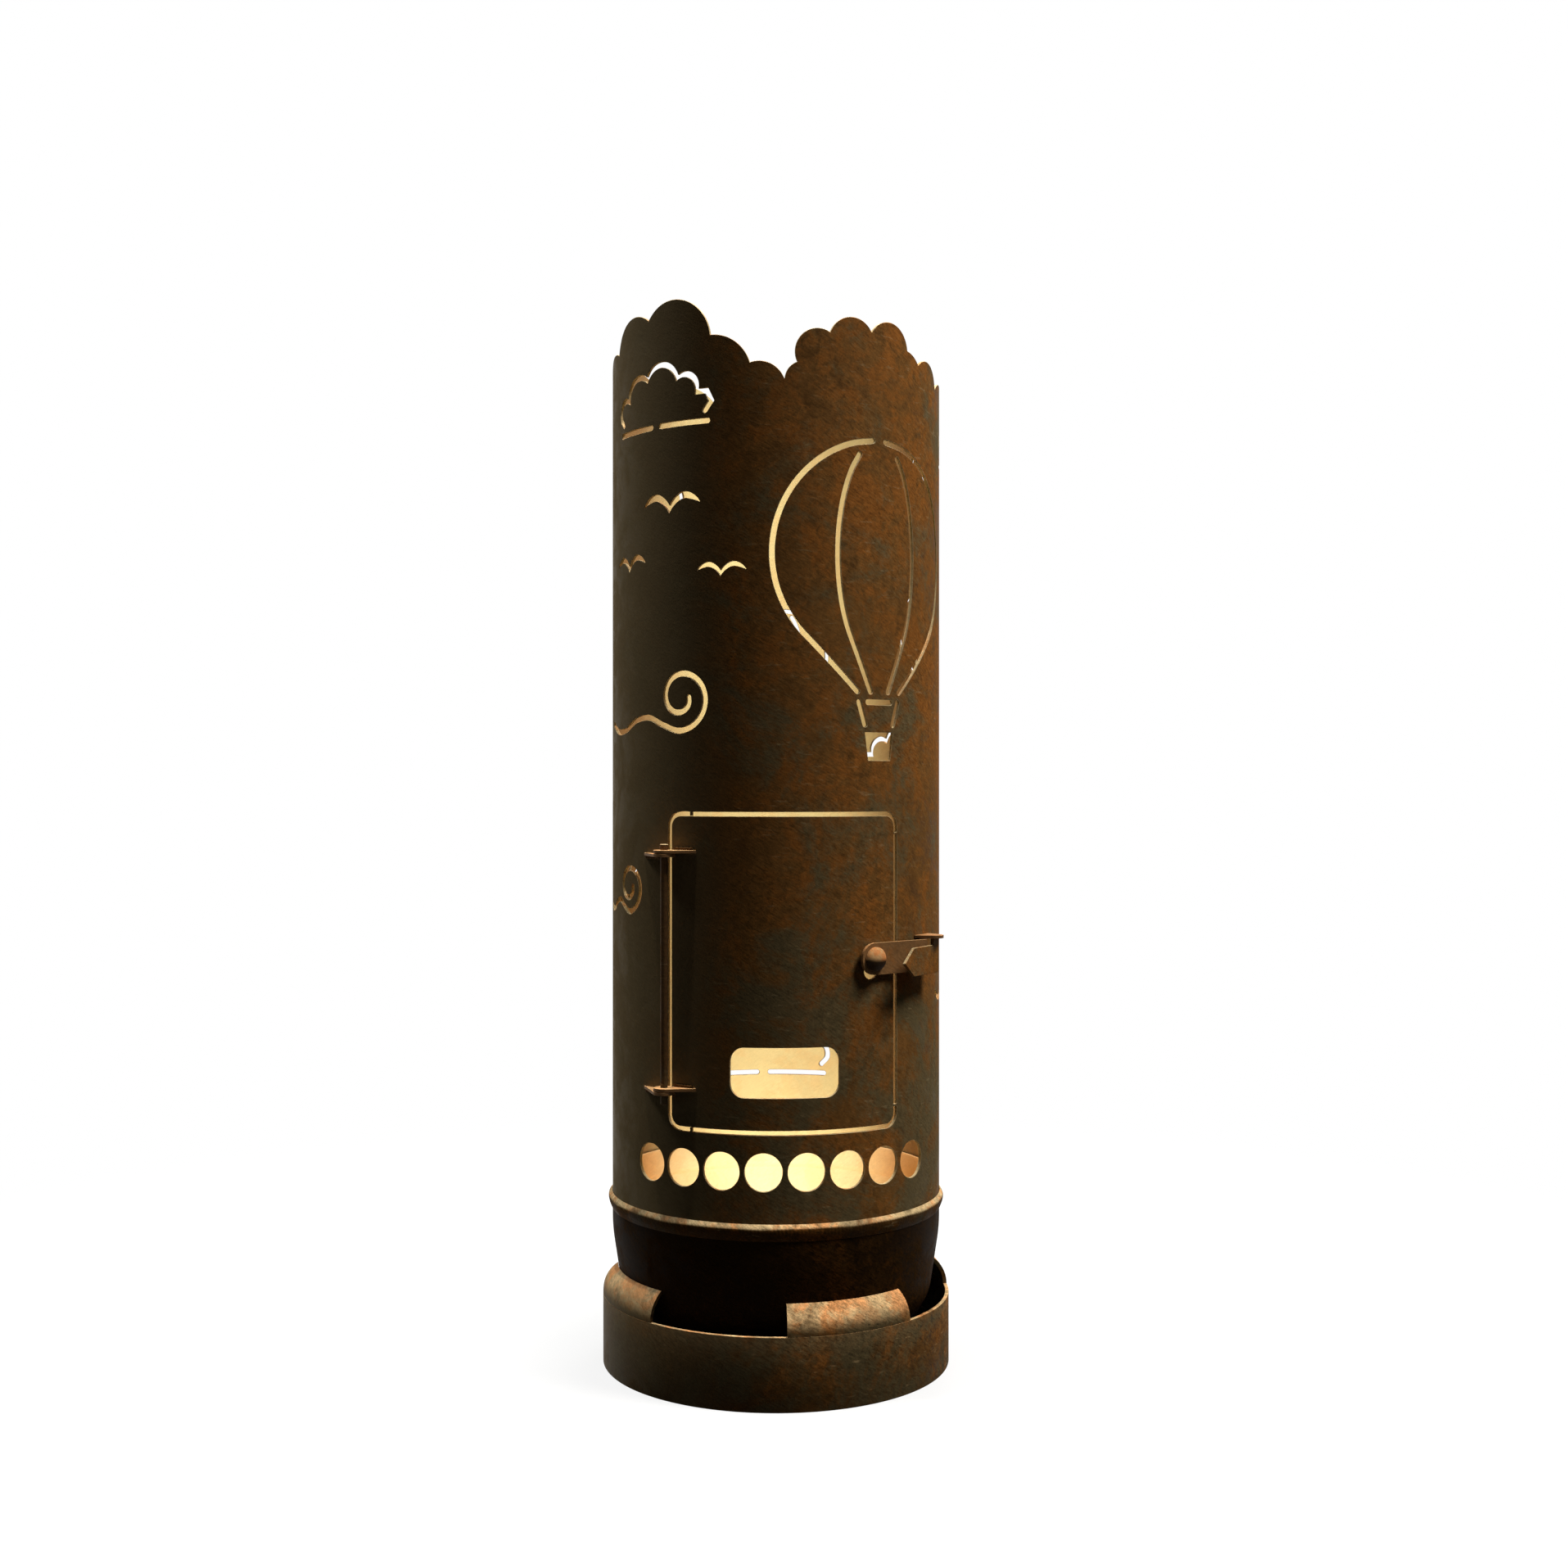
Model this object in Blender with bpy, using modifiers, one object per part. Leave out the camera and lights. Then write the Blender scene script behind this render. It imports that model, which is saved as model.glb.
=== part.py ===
"""Fire barrel made from a steel gas cylinder: a cut shell on a dished bottom and a foot ring,
with a curved door on a hinge rod and a turning latch arm.

Metres, +Z up. The origin is the centre of the foot ring's underside, and the door faces -Y.
An azimuth is an angle about +Z from the front, positive towards +X, and "along" is the
distance round the shell's outer surface from the front line, positive the same way.
"""

import math

import bmesh
import bpy
from mathutils import Vector

# Shell
SHELL_RADIUS = 0.159
SHEET = 0.003
SHELL_BOTTOM = 0.1585
HEIGHT = 0.998
FACETS = 60
ROUND_STEPS = 48
GAP = 0.0003

# Rim scallops, from the seam round to the seam: where the lobes meet and the crown between
# each two, in turn, as shares of half the circumference and of the height
SEAM_FACETS = 25
RIM_STEP = 0.009
RIM_SHARES = (
    (-1.1667, 0.9479), (-1.1267, 0.9649), (-1.0871, 0.9499), (-1.0390, 0.9639),
    (-0.9990, 0.9520), (-0.9490, 0.9699), (-0.8929, 0.9519), (-0.8208, 0.9760),
    (-0.7447, 0.9539), (-0.6707, 0.9780), (-0.6006, 0.9559), (-0.5485, 0.9719),
    (-0.4965, 0.9519), (-0.4504, 0.9679), (-0.4001, 0.9654), (-0.3252, 0.9935),
    (-0.2808, 0.9858), (-0.2207, 1.0000), (-0.1382, 0.9634), (-0.1001, 0.9589),
    (-0.0636, 0.9365), (-0.0450, 0.9377), (-0.0013, 0.9214), (0.0080, 0.9324),
    (0.0219, 0.9369), (0.0542, 0.9677), (0.0826, 0.9649), (0.1258, 0.9805),
    (0.1675, 0.9692), (0.2121, 0.9812), (0.2598, 0.9592), (0.2783, 0.9564),
    (0.2968, 0.9492), (0.3314, 0.9561), (0.3815, 0.9349), (0.4415, 0.9439),
    (0.4925, 0.9319), (0.5706, 0.9519), (0.6366, 0.9379), (0.7047, 0.9619),
    (0.7628, 0.9439), (0.8000, 0.9559), (0.8333, 0.9479),
)

# Door and its opening
DOOR_WIDTH = 0.220
DOOR_BOTTOM = 0.2484
DOOR_TOP = 0.529
DOOR_CORNER = 0.010
DOOR_SLOT = 0.004
CORNER_SEGMENTS = 4
NUB_WIDTH = 0.0022
NUB_GAP = 0.0004
NUB_CORNER_INSET = 0.0215
NUB_SIDE_INSET = 0.0160
WINDOW_WIDTH = 0.100
WINDOW_HEIGHT = 0.045
WINDOW_MIDDLE = 0.300
WINDOW_CORNER = 0.013
WINDOW_CORNER_SEGMENTS = 5

# Air holes
AIR_HOLES = 8
AIR_HOLE_RADIUS = 0.0172
AIR_HOLE_PITCH = 0.039
AIR_HOLE_LEVEL = 0.2113
AIR_HOLE_SEGMENTS = 18

# Cut motifs: the width of their lines, and shapes as shares of each motif's own size
LINE = 0.005
CLOUD_LINE_SHARE = 0.09
CURL_LINE_SHARE = 0.10
BALLOON_LINE_SHARE = 0.03
MOTIF_STEP = 0.011
CAP_POINTS = 3
CLOUD_SHARES = (
    (0.05, 0.17), (0.00, 0.38), (0.15, 0.53), (0.27, 0.86), (0.40, 0.80), (0.55, 1.00),
    (0.71, 0.74), (0.85, 0.72), (0.88, 0.48), (1.00, 0.34), (0.95, 0.17),
)
CLOUD_BASE_SHARES = ((0.03, 0.45), (0.55, 0.97))
GULL_SHARES = (
    (-1.00, 0.02), (-0.78, 0.25), (-0.50, 0.34), (-0.20, 0.22), (0.00, 0.00), (0.20, 0.22),
    (0.50, 0.34), (0.78, 0.25), (1.00, 0.02), (0.74, 0.12), (0.50, 0.16), (0.22, 0.04),
    (0.00, -0.20), (-0.22, 0.04), (-0.50, 0.16), (-0.74, 0.12),
)
CURL_TAIL_SEGMENTS = 6
CURL_WAVE_SHARE = 0.22
CURL_WAVES = 1.3
CURL_EYE_SHARE = 0.30
CURL_TURNS = 1.25
CURL_SEGMENTS = 15
BALLOON_RADIUS_SHARE = 0.36
BALLOON_SIDE_ANGLE = -45
BALLOON_CROWN_ANGLE = 86
BALLOON_SEGMENTS = 10
BALLOON_MOUTH_SHARE = 0.215
BALLOON_BRIDGE_SHARE = 0.9
GORE_SHARE = 0.42
GORE_CROWN_ANGLE = 60
ROPE_TOP_SHARE = 0.078
ROPE_FOOT_SHARE = 0.056
BASKET_TOP_SHARES = (0.056, 0.088)
BASKET_FOOT_SHARE = 0.044

# Motif boxes: left and right as shares of half the circumference, bottom and top as levels
# that count 0 at the shell's lower end, 1 at the opening's top and 2 at the lowest scallop
CLOUD_BOX_SHARES = (
    (-0.384, 1.910, -0.136, 2.055),
    (0.430, 1.860, 0.640, 1.995),
    (-0.800, 1.780, -0.560, 1.940),
    (0.560, 1.080, 0.790, 1.215),
    (-1.130, 0.250, -0.850, 0.400),
)
GULL_SHARES_AT = (
    (-0.226, 1.720, 0.136),
    (-0.346, 1.590, 0.112),
    (-0.118, 1.560, 0.096),
    (0.520, 1.660, 0.110),
    (-0.580, 1.420, 0.120),
)
CURL_BOX_SHARES = (
    (-0.440, 1.190, -0.140, 1.345),
    (-0.470, 0.750, -0.300, 0.875),
    (0.385, 0.520, 0.610, 0.650),
    (-0.985, 1.020, -0.745, 1.160),
)
BALLOON_BOX_SHARES = (
    (-0.030, 1.120, 0.400, 1.870),
    (-0.710, 0.700, -0.490, 1.150),
    (0.470, 1.270, 0.720, 1.580),
    (-1.160, 1.190, -0.900, 1.540),
)

# Dished bottom
DISH_LIP_TOP = 0.180
DISH_JOGGLE_DROP = 0.007
DISH_WALL_BOTTOM = 0.130
DISH_TAPER_BOTTOM = 0.078
DISH_TAPER_INSET = 0.008
DISH_SHOULDER_SHARE = 0.18
DISH_KNUCKLE = 0.050
DISH_CLEARANCE = 0.022
DISH_KNUCKLE_SEGMENTS = 3
DISH_CROWN_SEGMENTS = 2

# Girth weld
GIRTH_WELD_MIDDLE = 0.1575
GIRTH_WELD_WIDTH = 0.016
GIRTH_WELD_CROWN = 0.0038
GIRTH_WELD_SEGMENTS = 6

# Foot ring
FOOT_OVERHANG = 0.00915
FOOT_SHEET = 0.0035
FOOT_BAND_HEIGHT = 0.0675
FOOT_CURL = 0.031
FOOT_CURL_SEGMENTS = 4
FOOT_GAPS = 4
FOOT_GAP_ANGLE = 46.5
FOOT_TURN_ANGLE = 0.5
FOOT_CUT_SEGMENTS = 6
FOOT_WELD_RADIUS = 0.0022
FOOT_WELD_ANGLE = 16

# Hinge
ROD_RADIUS = 0.0033
ROD_HEAD_RADIUS = 0.0040
ROD_HEAD_HEIGHT = 0.0050
ROD_TAIL = 0.0090
ROD_STEPS = 16
HINGE_OFFSET = 0.0105
PIN_CLEARANCE = 0.0003
EAR_THICKNESS = 0.003
EAR_NOSE = 0.010
EAR_PAIR_GAP = 0.0004
UPPER_EAR_SET_BACK = 0.0306
LOWER_EAR_SET_BACK = 0.0354
PIN_HOLE_SEGMENTS = 16
EAR_NOSE_SEGMENTS = 8
EAR_ROOT_SEGMENTS = 4
DOOR_EAR_ROOT = 0.0276
SHELL_EAR_ROOT = 0.0325
EAR_WELD_RADIUS = 0.0011
EAR_WELD_INSET = 0.004
WELD_POINTS = 6

# Latch arm and bolt
ARM_LEVEL = 0.400
ARM_WIDTH = 0.029
ARM_THICKNESS = 0.003
ARM_REACH = 0.065
ARM_EAR_CLEARANCE = 0.0006
ARM_TANGENT_INSET = 0.0112
ARM_PIVOT_BACK = 0.0163
ARM_STANDOFF = 0.0016
ARM_SEGMENTS = 10
BOLT_RADIUS = 0.005
BOLT_HEAD_RADIUS = 0.011
BOLT_HEAD_HEIGHT = 0.008
BOLT_TAIL = 0.003
BOLT_STEPS = 20
BOLT_DOME_SEGMENTS = 5
BOLT_CLEARANCE = 0.0003
BOLT_HOLE_SEGMENTS = 16
WASHER_SEGMENTS = 20
NUT_SIDES = 6
SPACER_RADIUS = 0.0105
INNER_WASHER_RADIUS = 0.0115
INNER_WASHER_THICKNESS = 0.002
NUT_ACROSS_CORNERS = 0.0185
NUT_HEIGHT = 0.008
LATCH_HOLE_RADIUS = 0.0073
LATCH_HOLE_DROP = 0.0115
LATCH_HOLE_SEGMENTS = 8

# Keeper
KEEPER_OUTSET = 0.040
KEEPER_EAR_HALF_ROOT = 0.014
KEEPER_NOSE = 0.0085
HOOK_THICKNESS = 0.003
HOOK_CLEARANCE = 0.0004
HOOK_DROP = 0.0061
HOOK_HEIGHT = 0.026
HOOK_LENGTH = 0.0673
HOOK_POINT = 0.0179
HOOK_NECK = 0.0115

# Finishes: colour, roughness, metallic
WALL_STEEL = ((0.060, 0.038, 0.022, 1.0), 0.62, 0.55)
DOOR_STEEL = ((0.085, 0.050, 0.025, 1.0), 0.60, 0.55)
FOOT_STEEL = ((0.160, 0.095, 0.052, 1.0), 0.58, 0.55)
WELD_STEEL = ((0.240, 0.165, 0.100, 1.0), 0.50, 0.70)
HINGE_STEEL = ((0.130, 0.100, 0.075, 1.0), 0.45, 0.80)
LATCH_STEEL = ((0.170, 0.135, 0.105, 1.0), 0.42, 0.85)

# Sizes worked out from the ones above
HALF_ROUND = math.pi * SHELL_RADIUS
FOOT_RADIUS = SHELL_RADIUS + FOOT_OVERHANG
SHELL_INNER = SHELL_RADIUS - SHEET
FACET_ANGLE = 2 * math.pi / FACETS
ROUND_FLAT = math.cos(math.pi / ROUND_STEPS)
DOOR_EDGE = DOOR_WIDTH / 2
OPENING_EDGE = DOOR_EDGE + DOOR_SLOT
HINGE_AZIMUTH = -DOOR_EDGE / SHELL_RADIUS
HINGE_RADIUS = SHELL_RADIUS + HINGE_OFFSET
ARM_AZIMUTH = (DOOR_EDGE - ARM_TANGENT_INSET) / SHELL_RADIUS
ARM_BACK = SHELL_RADIUS + ARM_STANDOFF
ARM_FRONT = ARM_BACK + ARM_THICKNESS
BOLT_ALONG = SHELL_RADIUS * (ARM_AZIMUTH - math.asin(ARM_PIVOT_BACK / SHELL_RADIUS))
KEEPER_AZIMUTH = (OPENING_EDGE + KEEPER_OUTSET) / SHELL_RADIUS
KEEPER_EAR_LEVEL = ARM_LEVEL + ARM_WIDTH / 2 + ARM_EAR_CLEARANCE
SEAM_ALONG = SEAM_FACETS * FACET_ANGLE * SHELL_RADIUS
OPENING_TOP = DOOR_TOP + DOOR_SLOT
RIM_LOW = HEIGHT * min(z for _, z in RIM_SHARES)


def arc(centre, radius, start, end, segments):
    """Points on a circular arc between two angles in radians, both ends included."""
    angles = [start + (end - start) * i / segments for i in range(segments + 1)]
    return [(centre[0] + radius * math.cos(a), centre[1] + radius * math.sin(a)) for a in angles]


def circle(centre, radius, segments):
    """A closed outline: a circle."""
    return arc(centre, radius, 0, 2 * math.pi, segments)[:-1]


def arc_through(first, crown, last, step):
    """Points from first up to, but without, last, on the circle through three points."""
    a, b, c = (complex(*p) for p in (first, crown, last))
    w = (c - a) / (b - a)
    middle = (b - a) * (w - abs(w) ** 2) / (2j * w.imag) + a
    start = a - middle
    turn = 0.0
    for near, far in ((a, b), (b, c)):
        quotient = (far - middle) / (near - middle)
        turn += math.atan2(quotient.imag, quotient.real)
    count = max(2, round(abs(start) * abs(turn) / step))
    points = [middle + start * complex(math.cos(t), math.sin(t))
              for t in (turn * i / count for i in range(count))]
    return [(p.real, p.imag) for p in points]


def lobes(points, step):
    """A scalloped line: an arc over every second point, from each meeting point to the next."""
    line = []
    for i in range(0, len(points) - 2, 2):
        line += arc_through(points[i], points[i + 1], points[i + 2], step)
    return line + [points[-1]]


def rounded_box(low, high, radius, segments):
    """A closed outline: a rectangle with round corners, counterclockwise from the lower right."""
    corners = (
        (high[0] - radius, low[1] + radius, -90),
        (high[0] - radius, high[1] - radius, 0),
        (low[0] + radius, high[1] - radius, 90),
        (low[0] + radius, low[1] + radius, 180),
    )
    outline = []
    for x, y, start in corners:
        outline += arc((x, y), radius, math.radians(start), math.radians(start + 90), segments)
    return outline


def stroke(line, width):
    """A closed outline: an open line drawn this wide, with mitred bends and round ends."""
    points = [Vector(p) for p in line]
    half = width / 2
    sides = [(b - a).normalized() for a, b in zip(points, points[1:])]
    sides = [Vector((-d.y, d.x)) for d in sides]
    shifts = [sides[0]]
    for before, after in zip(sides, sides[1:]):
        shifts.append((before + after) / (1 + before.dot(after)))
    shifts.append(sides[-1])
    left = [p + s * half for p, s in zip(points, shifts)]
    right = [p - s * half for p, s in zip(points, shifts)]
    last = math.atan2(sides[-1].y, sides[-1].x)
    first = math.atan2(-sides[0].y, -sides[0].x)
    end = arc(points[-1], half, last, last - math.pi, CAP_POINTS + 1)[1:-1]
    start = arc(points[0], half, first, first - math.pi, CAP_POINTS + 1)[1:-1]
    return [tuple(p) for p in left] + end + [tuple(p) for p in reversed(right)] + start


def level(share):
    """A height on the shell: 0 is its lower end, 1 the opening's top, 2 the lowest scallop."""
    if share < 1:
        return SHELL_BOTTOM + share * (OPENING_TOP - SHELL_BOTTOM)
    return OPENING_TOP + (share - 1) * (RIM_LOW - OPENING_TOP)


def box(left, bottom, right, top):
    """A motif's box on the flat pattern: its lower left corner, width and height."""
    return (left * HALF_ROUND, level(bottom), (right - left) * HALF_ROUND,
            level(top) - level(bottom))


def cloud(*shares):
    """A scalloped line over a flat base that is cut in two."""
    left, bottom, width, height = box(*shares)
    line = min(LINE, CLOUD_LINE_SHARE * height)
    at = [(left + width * x, bottom + height * y) for x, y in CLOUD_SHARES]
    base = [[(left + width * x, bottom) for x in ends] for ends in CLOUD_BASE_SHARES]
    return [stroke(lobes(at, MOTIF_STEP), line)] + [stroke(part, line) for part in base]


def gull(along, height, span):
    """A flying bird as one hole, from wing tip to wing tip."""
    half = span * HALF_ROUND / 2
    return [[(along * HALF_ROUND + x * half, level(height) + y * half) for x, y in GULL_SHARES]]


def curl(*shares):
    """A line of wind that rolls up into a spiral at its right end."""
    left, bottom, width, height = box(*shares)
    radius = height / 2
    eye = (left + width - radius, bottom + radius)
    tail = []
    for i in range(CURL_TAIL_SEGMENTS):
        share = 1 - i / CURL_TAIL_SEGMENTS
        wave = CURL_WAVE_SHARE * height * (1 - math.cos(2 * math.pi * CURL_WAVES * share)) / 2
        tail.append((eye[0] - share * (width - radius), bottom + wave))
    spiral = []
    for i in range(CURL_SEGMENTS + 1):
        share = i / CURL_SEGMENTS
        reach = radius * (1 + (CURL_EYE_SHARE - 1) * share)
        angle = 2 * math.pi * (CURL_TURNS * share - 1 / 4)
        spiral.append((eye[0] + reach * math.cos(angle), eye[1] + reach * math.sin(angle)))
    return [stroke(tail + spiral, min(LINE, CURL_LINE_SHARE * height))]


def balloon(*shares):
    """A hot-air balloon in lines: envelope in two halves, two gores, skirt, ropes and basket."""
    left, bottom, width, height = box(*shares)
    size = min(height, width / (2 * BALLOON_RADIUS_SHARE))
    line = min(LINE, BALLOON_LINE_SHARE * size)
    bridge = BALLOON_BRIDGE_SHARE * line
    along = left + width / 2
    radius = BALLOON_RADIUS_SHARE * size
    middle = bottom + size - radius
    mouth = bottom + BALLOON_MOUTH_SHARE * size
    skirt = mouth - line - bridge
    brim, basket_top = (share * size for share in BASKET_TOP_SHARES)
    foot = BASKET_FOOT_SHARE * size
    slope = math.radians(BALLOON_SIDE_ANGLE)
    rope_top = (ROPE_TOP_SHARE * size, skirt)
    rope_foot = (ROPE_FOOT_SHARE * size, bottom + basket_top + line / 2 + bridge)
    holes = []
    for side in (-1, 1):
        for reach, crown in ((1, BALLOON_CROWN_ANGLE), (GORE_SHARE, GORE_CROWN_ANGLE)):
            half = arc((0, middle), radius, math.radians(crown), slope, BALLOON_SEGMENTS)
            drop = half[-1][1] - mouth
            half.append((half[-1][0] - drop / math.tan(-slope), mouth))
            holes.append(stroke([(along + side * reach * x, z) for x, z in half], line))
        holes.append(stroke([(along + side * x, z) for x, z in (rope_top, rope_foot)], line))
    end = rope_top[0] - line - bridge
    holes.append(stroke([(along - end, skirt), (along + end, skirt)], line))
    corners = ((-foot, 0), (foot, 0), (brim, basket_top), (-brim, basket_top))
    holes.append([(along + x, bottom + z) for x, z in corners])
    return holes


def opening_outline():
    """The door opening, with the stubs of the four ties that once held the door blank."""
    low = DOOR_BOTTOM - DOOR_SLOT
    high = OPENING_TOP
    reach = DOOR_SLOT - NUB_GAP
    inner = OPENING_EDGE - reach
    half = NUB_WIDTH / 2
    left = -DOOR_EDGE + NUB_CORNER_INSET
    outline = rounded_box((-OPENING_EDGE, low), (OPENING_EDGE, high), DOOR_CORNER + DOOR_SLOT,
                          CORNER_SEGMENTS)
    points = CORNER_SEGMENTS + 1
    right, top, others = outline[:points], outline[points:2 * points], outline[2 * points:]
    levels = (DOOR_BOTTOM + NUB_SIDE_INSET, DOOR_TOP - NUB_SIDE_INSET)
    side_nubs = [p for z in levels for p in (
        (OPENING_EDGE, z - half), (inner, z - half), (inner, z + half), (OPENING_EDGE, z + half))]
    top_nub = [(left + half, high), (left + half, high - reach),
               (left - half, high - reach), (left - half, high)]
    low_nub = [(left - half, low), (left - half, low + reach),
               (left + half, low + reach), (left + half, low)]
    return right + side_nubs + top + top_nub + others + low_nub


def sheet_mesh(name, loops, thickness):
    """A flat sheet from closed outlines, the edge first and then its holes, on local z = 0."""
    curve = bpy.data.curves.new(name, "CURVE")
    curve.dimensions = "2D"
    curve.fill_mode = "BOTH"
    curve.extrude = thickness / 2
    for loop in loops:
        spline = curve.splines.new("POLY")
        spline.points.add(len(loop) - 1)
        for point, (x, y) in zip(spline.points, loop):
            point.co = (x, y, 0, 1)
        spline.use_cyclic_u = True
    drawn = bpy.data.objects.new(name, curve)
    bpy.context.scene.collection.objects.link(drawn)
    graph = bpy.context.evaluated_depsgraph_get()
    mesh = bpy.data.meshes.new_from_object(drawn.evaluated_get(graph))
    bpy.data.objects.remove(drawn)
    bpy.data.curves.remove(curve)
    mesh.name = name
    edit = bmesh.new()
    edit.from_mesh(mesh)
    bmesh.ops.remove_doubles(edit, verts=edit.verts, dist=SHEET / 1000)
    bmesh.ops.recalc_face_normals(edit, faces=edit.faces)
    edit.to_mesh(mesh)
    edit.free()
    return mesh


def roll(mesh, ends_meet):
    """Bends a flat sheet, x along and y up, into the facets of the shell."""
    edit = bmesh.new()
    edit.from_mesh(mesh)
    strip = FACET_ANGLE * SHELL_RADIUS
    near = strip / 1000
    first = math.floor(min(v.co.x for v in edit.verts) / strip)
    last = math.ceil(max(v.co.x for v in edit.verts) / strip)
    for k in range(first + 1, last):
        everything = list(edit.verts) + list(edit.edges) + list(edit.faces)
        bmesh.ops.bisect_plane(edit, geom=everything, dist=near / 10,
                               plane_co=(k * strip, 0, 0), plane_no=(1, 0, 0))

    def on_fold(vert):
        return abs(vert.co.x / strip - round(vert.co.x / strip)) < near / strip

    loose = [e for e in edit.edges
             if len(e.link_faces) == 2
             and all(abs(f.normal.z) > 0.9 for f in e.link_faces)
             and not (on_fold(e.verts[0]) and on_fold(e.verts[1])
                      and abs(e.verts[0].co.x - e.verts[1].co.x) < near)]
    bmesh.ops.dissolve_limit(edit, angle_limit=math.radians(1), use_dissolve_boundaries=False,
                             verts=[], edges=loose, delimit=set())
    needless = [v for v in edit.verts if len(v.link_edges) == 2
                and abs(v.calc_edge_angle()) < math.radians(0.1)]
    bmesh.ops.dissolve_verts(edit, verts=needless)
    if ends_meet:
        ends = (SEAM_ALONG, SEAM_ALONG - 2 * HALF_ROUND)
        end_walls = [f for f in edit.faces
                     if any(all(abs(v.co.x - end) < near for v in f.verts) for end in ends)]
        bmesh.ops.delete(edit, geom=end_walls, context="FACES")
    half_facet = FACET_ANGLE / 2
    for vert in edit.verts:
        angle = vert.co.x / SHELL_RADIUS
        from_middle = angle % FACET_ANGLE - half_facet
        flat = math.cos(half_facet) / math.cos(from_middle)
        radius = (SHELL_RADIUS - SHEET / 2 + vert.co.z) * flat
        vert.co = (radius * math.sin(angle), -radius * math.cos(angle), vert.co.y)
    bmesh.ops.remove_doubles(edit, verts=edit.verts, dist=near / 10)
    bmesh.ops.recalc_face_normals(edit, faces=edit.faces)
    edit.to_mesh(mesh)
    edit.free()
    return mesh


def smooth(mesh, angle=30):
    """Shades a mesh smooth, with edges sharper than the angle kept."""
    mesh.shade_smooth()
    mesh.set_sharp_from_angle(angle=math.radians(angle))


def add(name, data, finish, parent=None):
    """Links a named piece into the object's collection, with a material of its own."""
    piece = bpy.data.objects.new(name, data)
    bpy.data.collections["fire_barrel"].objects.link(piece)
    colour, roughness, metallic = finish
    material = bpy.data.materials.new(name)
    material.use_nodes = True
    shader = material.node_tree.nodes["Principled BSDF"]
    shader.inputs["Base Color"].default_value = colour
    shader.inputs["Roughness"].default_value = roughness
    shader.inputs["Metallic"].default_value = metallic
    material.diffuse_color = colour
    data.materials.append(material)
    if parent:
        piece.parent = parent
    return piece


def turned(name, profile, closed, steps, finish, parent=None):
    """A profile of (radius, z) points turned about the piece's own Z axis."""
    mesh = bpy.data.meshes.new(name)
    count = len(profile)
    edges = [(i, i + 1) for i in range(count - 1)]
    if closed:
        edges.append((count - 1, 0))
    mesh.from_pydata([(r, 0, z) for r, z in profile], edges, [])
    piece = add(name, mesh, finish, parent)
    screw = piece.modifiers.new("turn", "SCREW")
    screw.axis = "Z"
    screw.steps = steps
    screw.render_steps = steps
    screw.use_merge_vertices = True
    screw.merge_threshold = SHEET / 1000
    return piece


def plate(name, loops, thickness, finish, parent=None):
    """A flat plate, half of its thickness on each side of the piece's local z = 0."""
    return add(name, sheet_mesh(name, loops, thickness), finish, parent)


def bead(name, points, radius, finish, parent=None):
    """A round weld bead along a line of points."""
    curve = bpy.data.curves.new(name, "CURVE")
    curve.dimensions = "3D"
    curve.bevel_depth = radius
    curve.bevel_resolution = 1
    curve.use_fill_caps = True
    spline = curve.splines.new("POLY")
    spline.points.add(len(points) - 1)
    for point, place in zip(spline.points, points):
        point.co = (*place, 1)
    return add(name, curve, finish, parent)


def round_axis(radius, azimuth, z):
    """A point at this distance from the barrel's axis."""
    return (radius * math.sin(azimuth), -radius * math.cos(azimuth), z)


def empty(name, place, parent=None):
    """A pivot that moving pieces hang on."""
    pivot = bpy.data.objects.new(name, None)
    bpy.data.collections["fire_barrel"].objects.link(pivot)
    pivot.location = place
    if parent:
        pivot.parent = parent
        pivot.location = Vector(place) - parent.location
    return pivot


def make_shell():
    """The cylinder wall: rolled from one flat pattern and closed at the back."""
    rim = lobes([(x * HALF_ROUND, z * HEIGHT) for x, z in RIM_SHARES], RIM_STEP)
    start = SEAM_ALONG - 2 * HALF_ROUND
    rim[0] = (start, rim[0][1])
    rim[-1] = (SEAM_ALONG, rim[0][1])
    edge = [(start, SHELL_BOTTOM), (SEAM_ALONG, SHELL_BOTTOM)] + rim[::-1]
    loops = [edge, opening_outline()]
    for i in range(AIR_HOLES):
        along = (i - (AIR_HOLES - 1) / 2) * AIR_HOLE_PITCH
        loops.append(circle((along, AIR_HOLE_LEVEL), AIR_HOLE_RADIUS, AIR_HOLE_SEGMENTS))
    for shape, places in ((cloud, CLOUD_BOX_SHARES), (gull, GULL_SHARES_AT),
                          (curl, CURL_BOX_SHARES), (balloon, BALLOON_BOX_SHARES)):
        for place in places:
            loops += shape(*place)
    mesh = roll(sheet_mesh("barrel_shell", loops, SHEET), True)
    smooth(mesh)
    add("barrel_shell", mesh, WALL_STEEL)


def dish_wall_radius(z):
    """The dish's outer radius on its straight taper."""
    share = (DISH_WALL_BOTTOM - z) / (DISH_WALL_BOTTOM - DISH_TAPER_BOTTOM)
    return SHELL_RADIUS - DISH_TAPER_INSET * share


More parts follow.
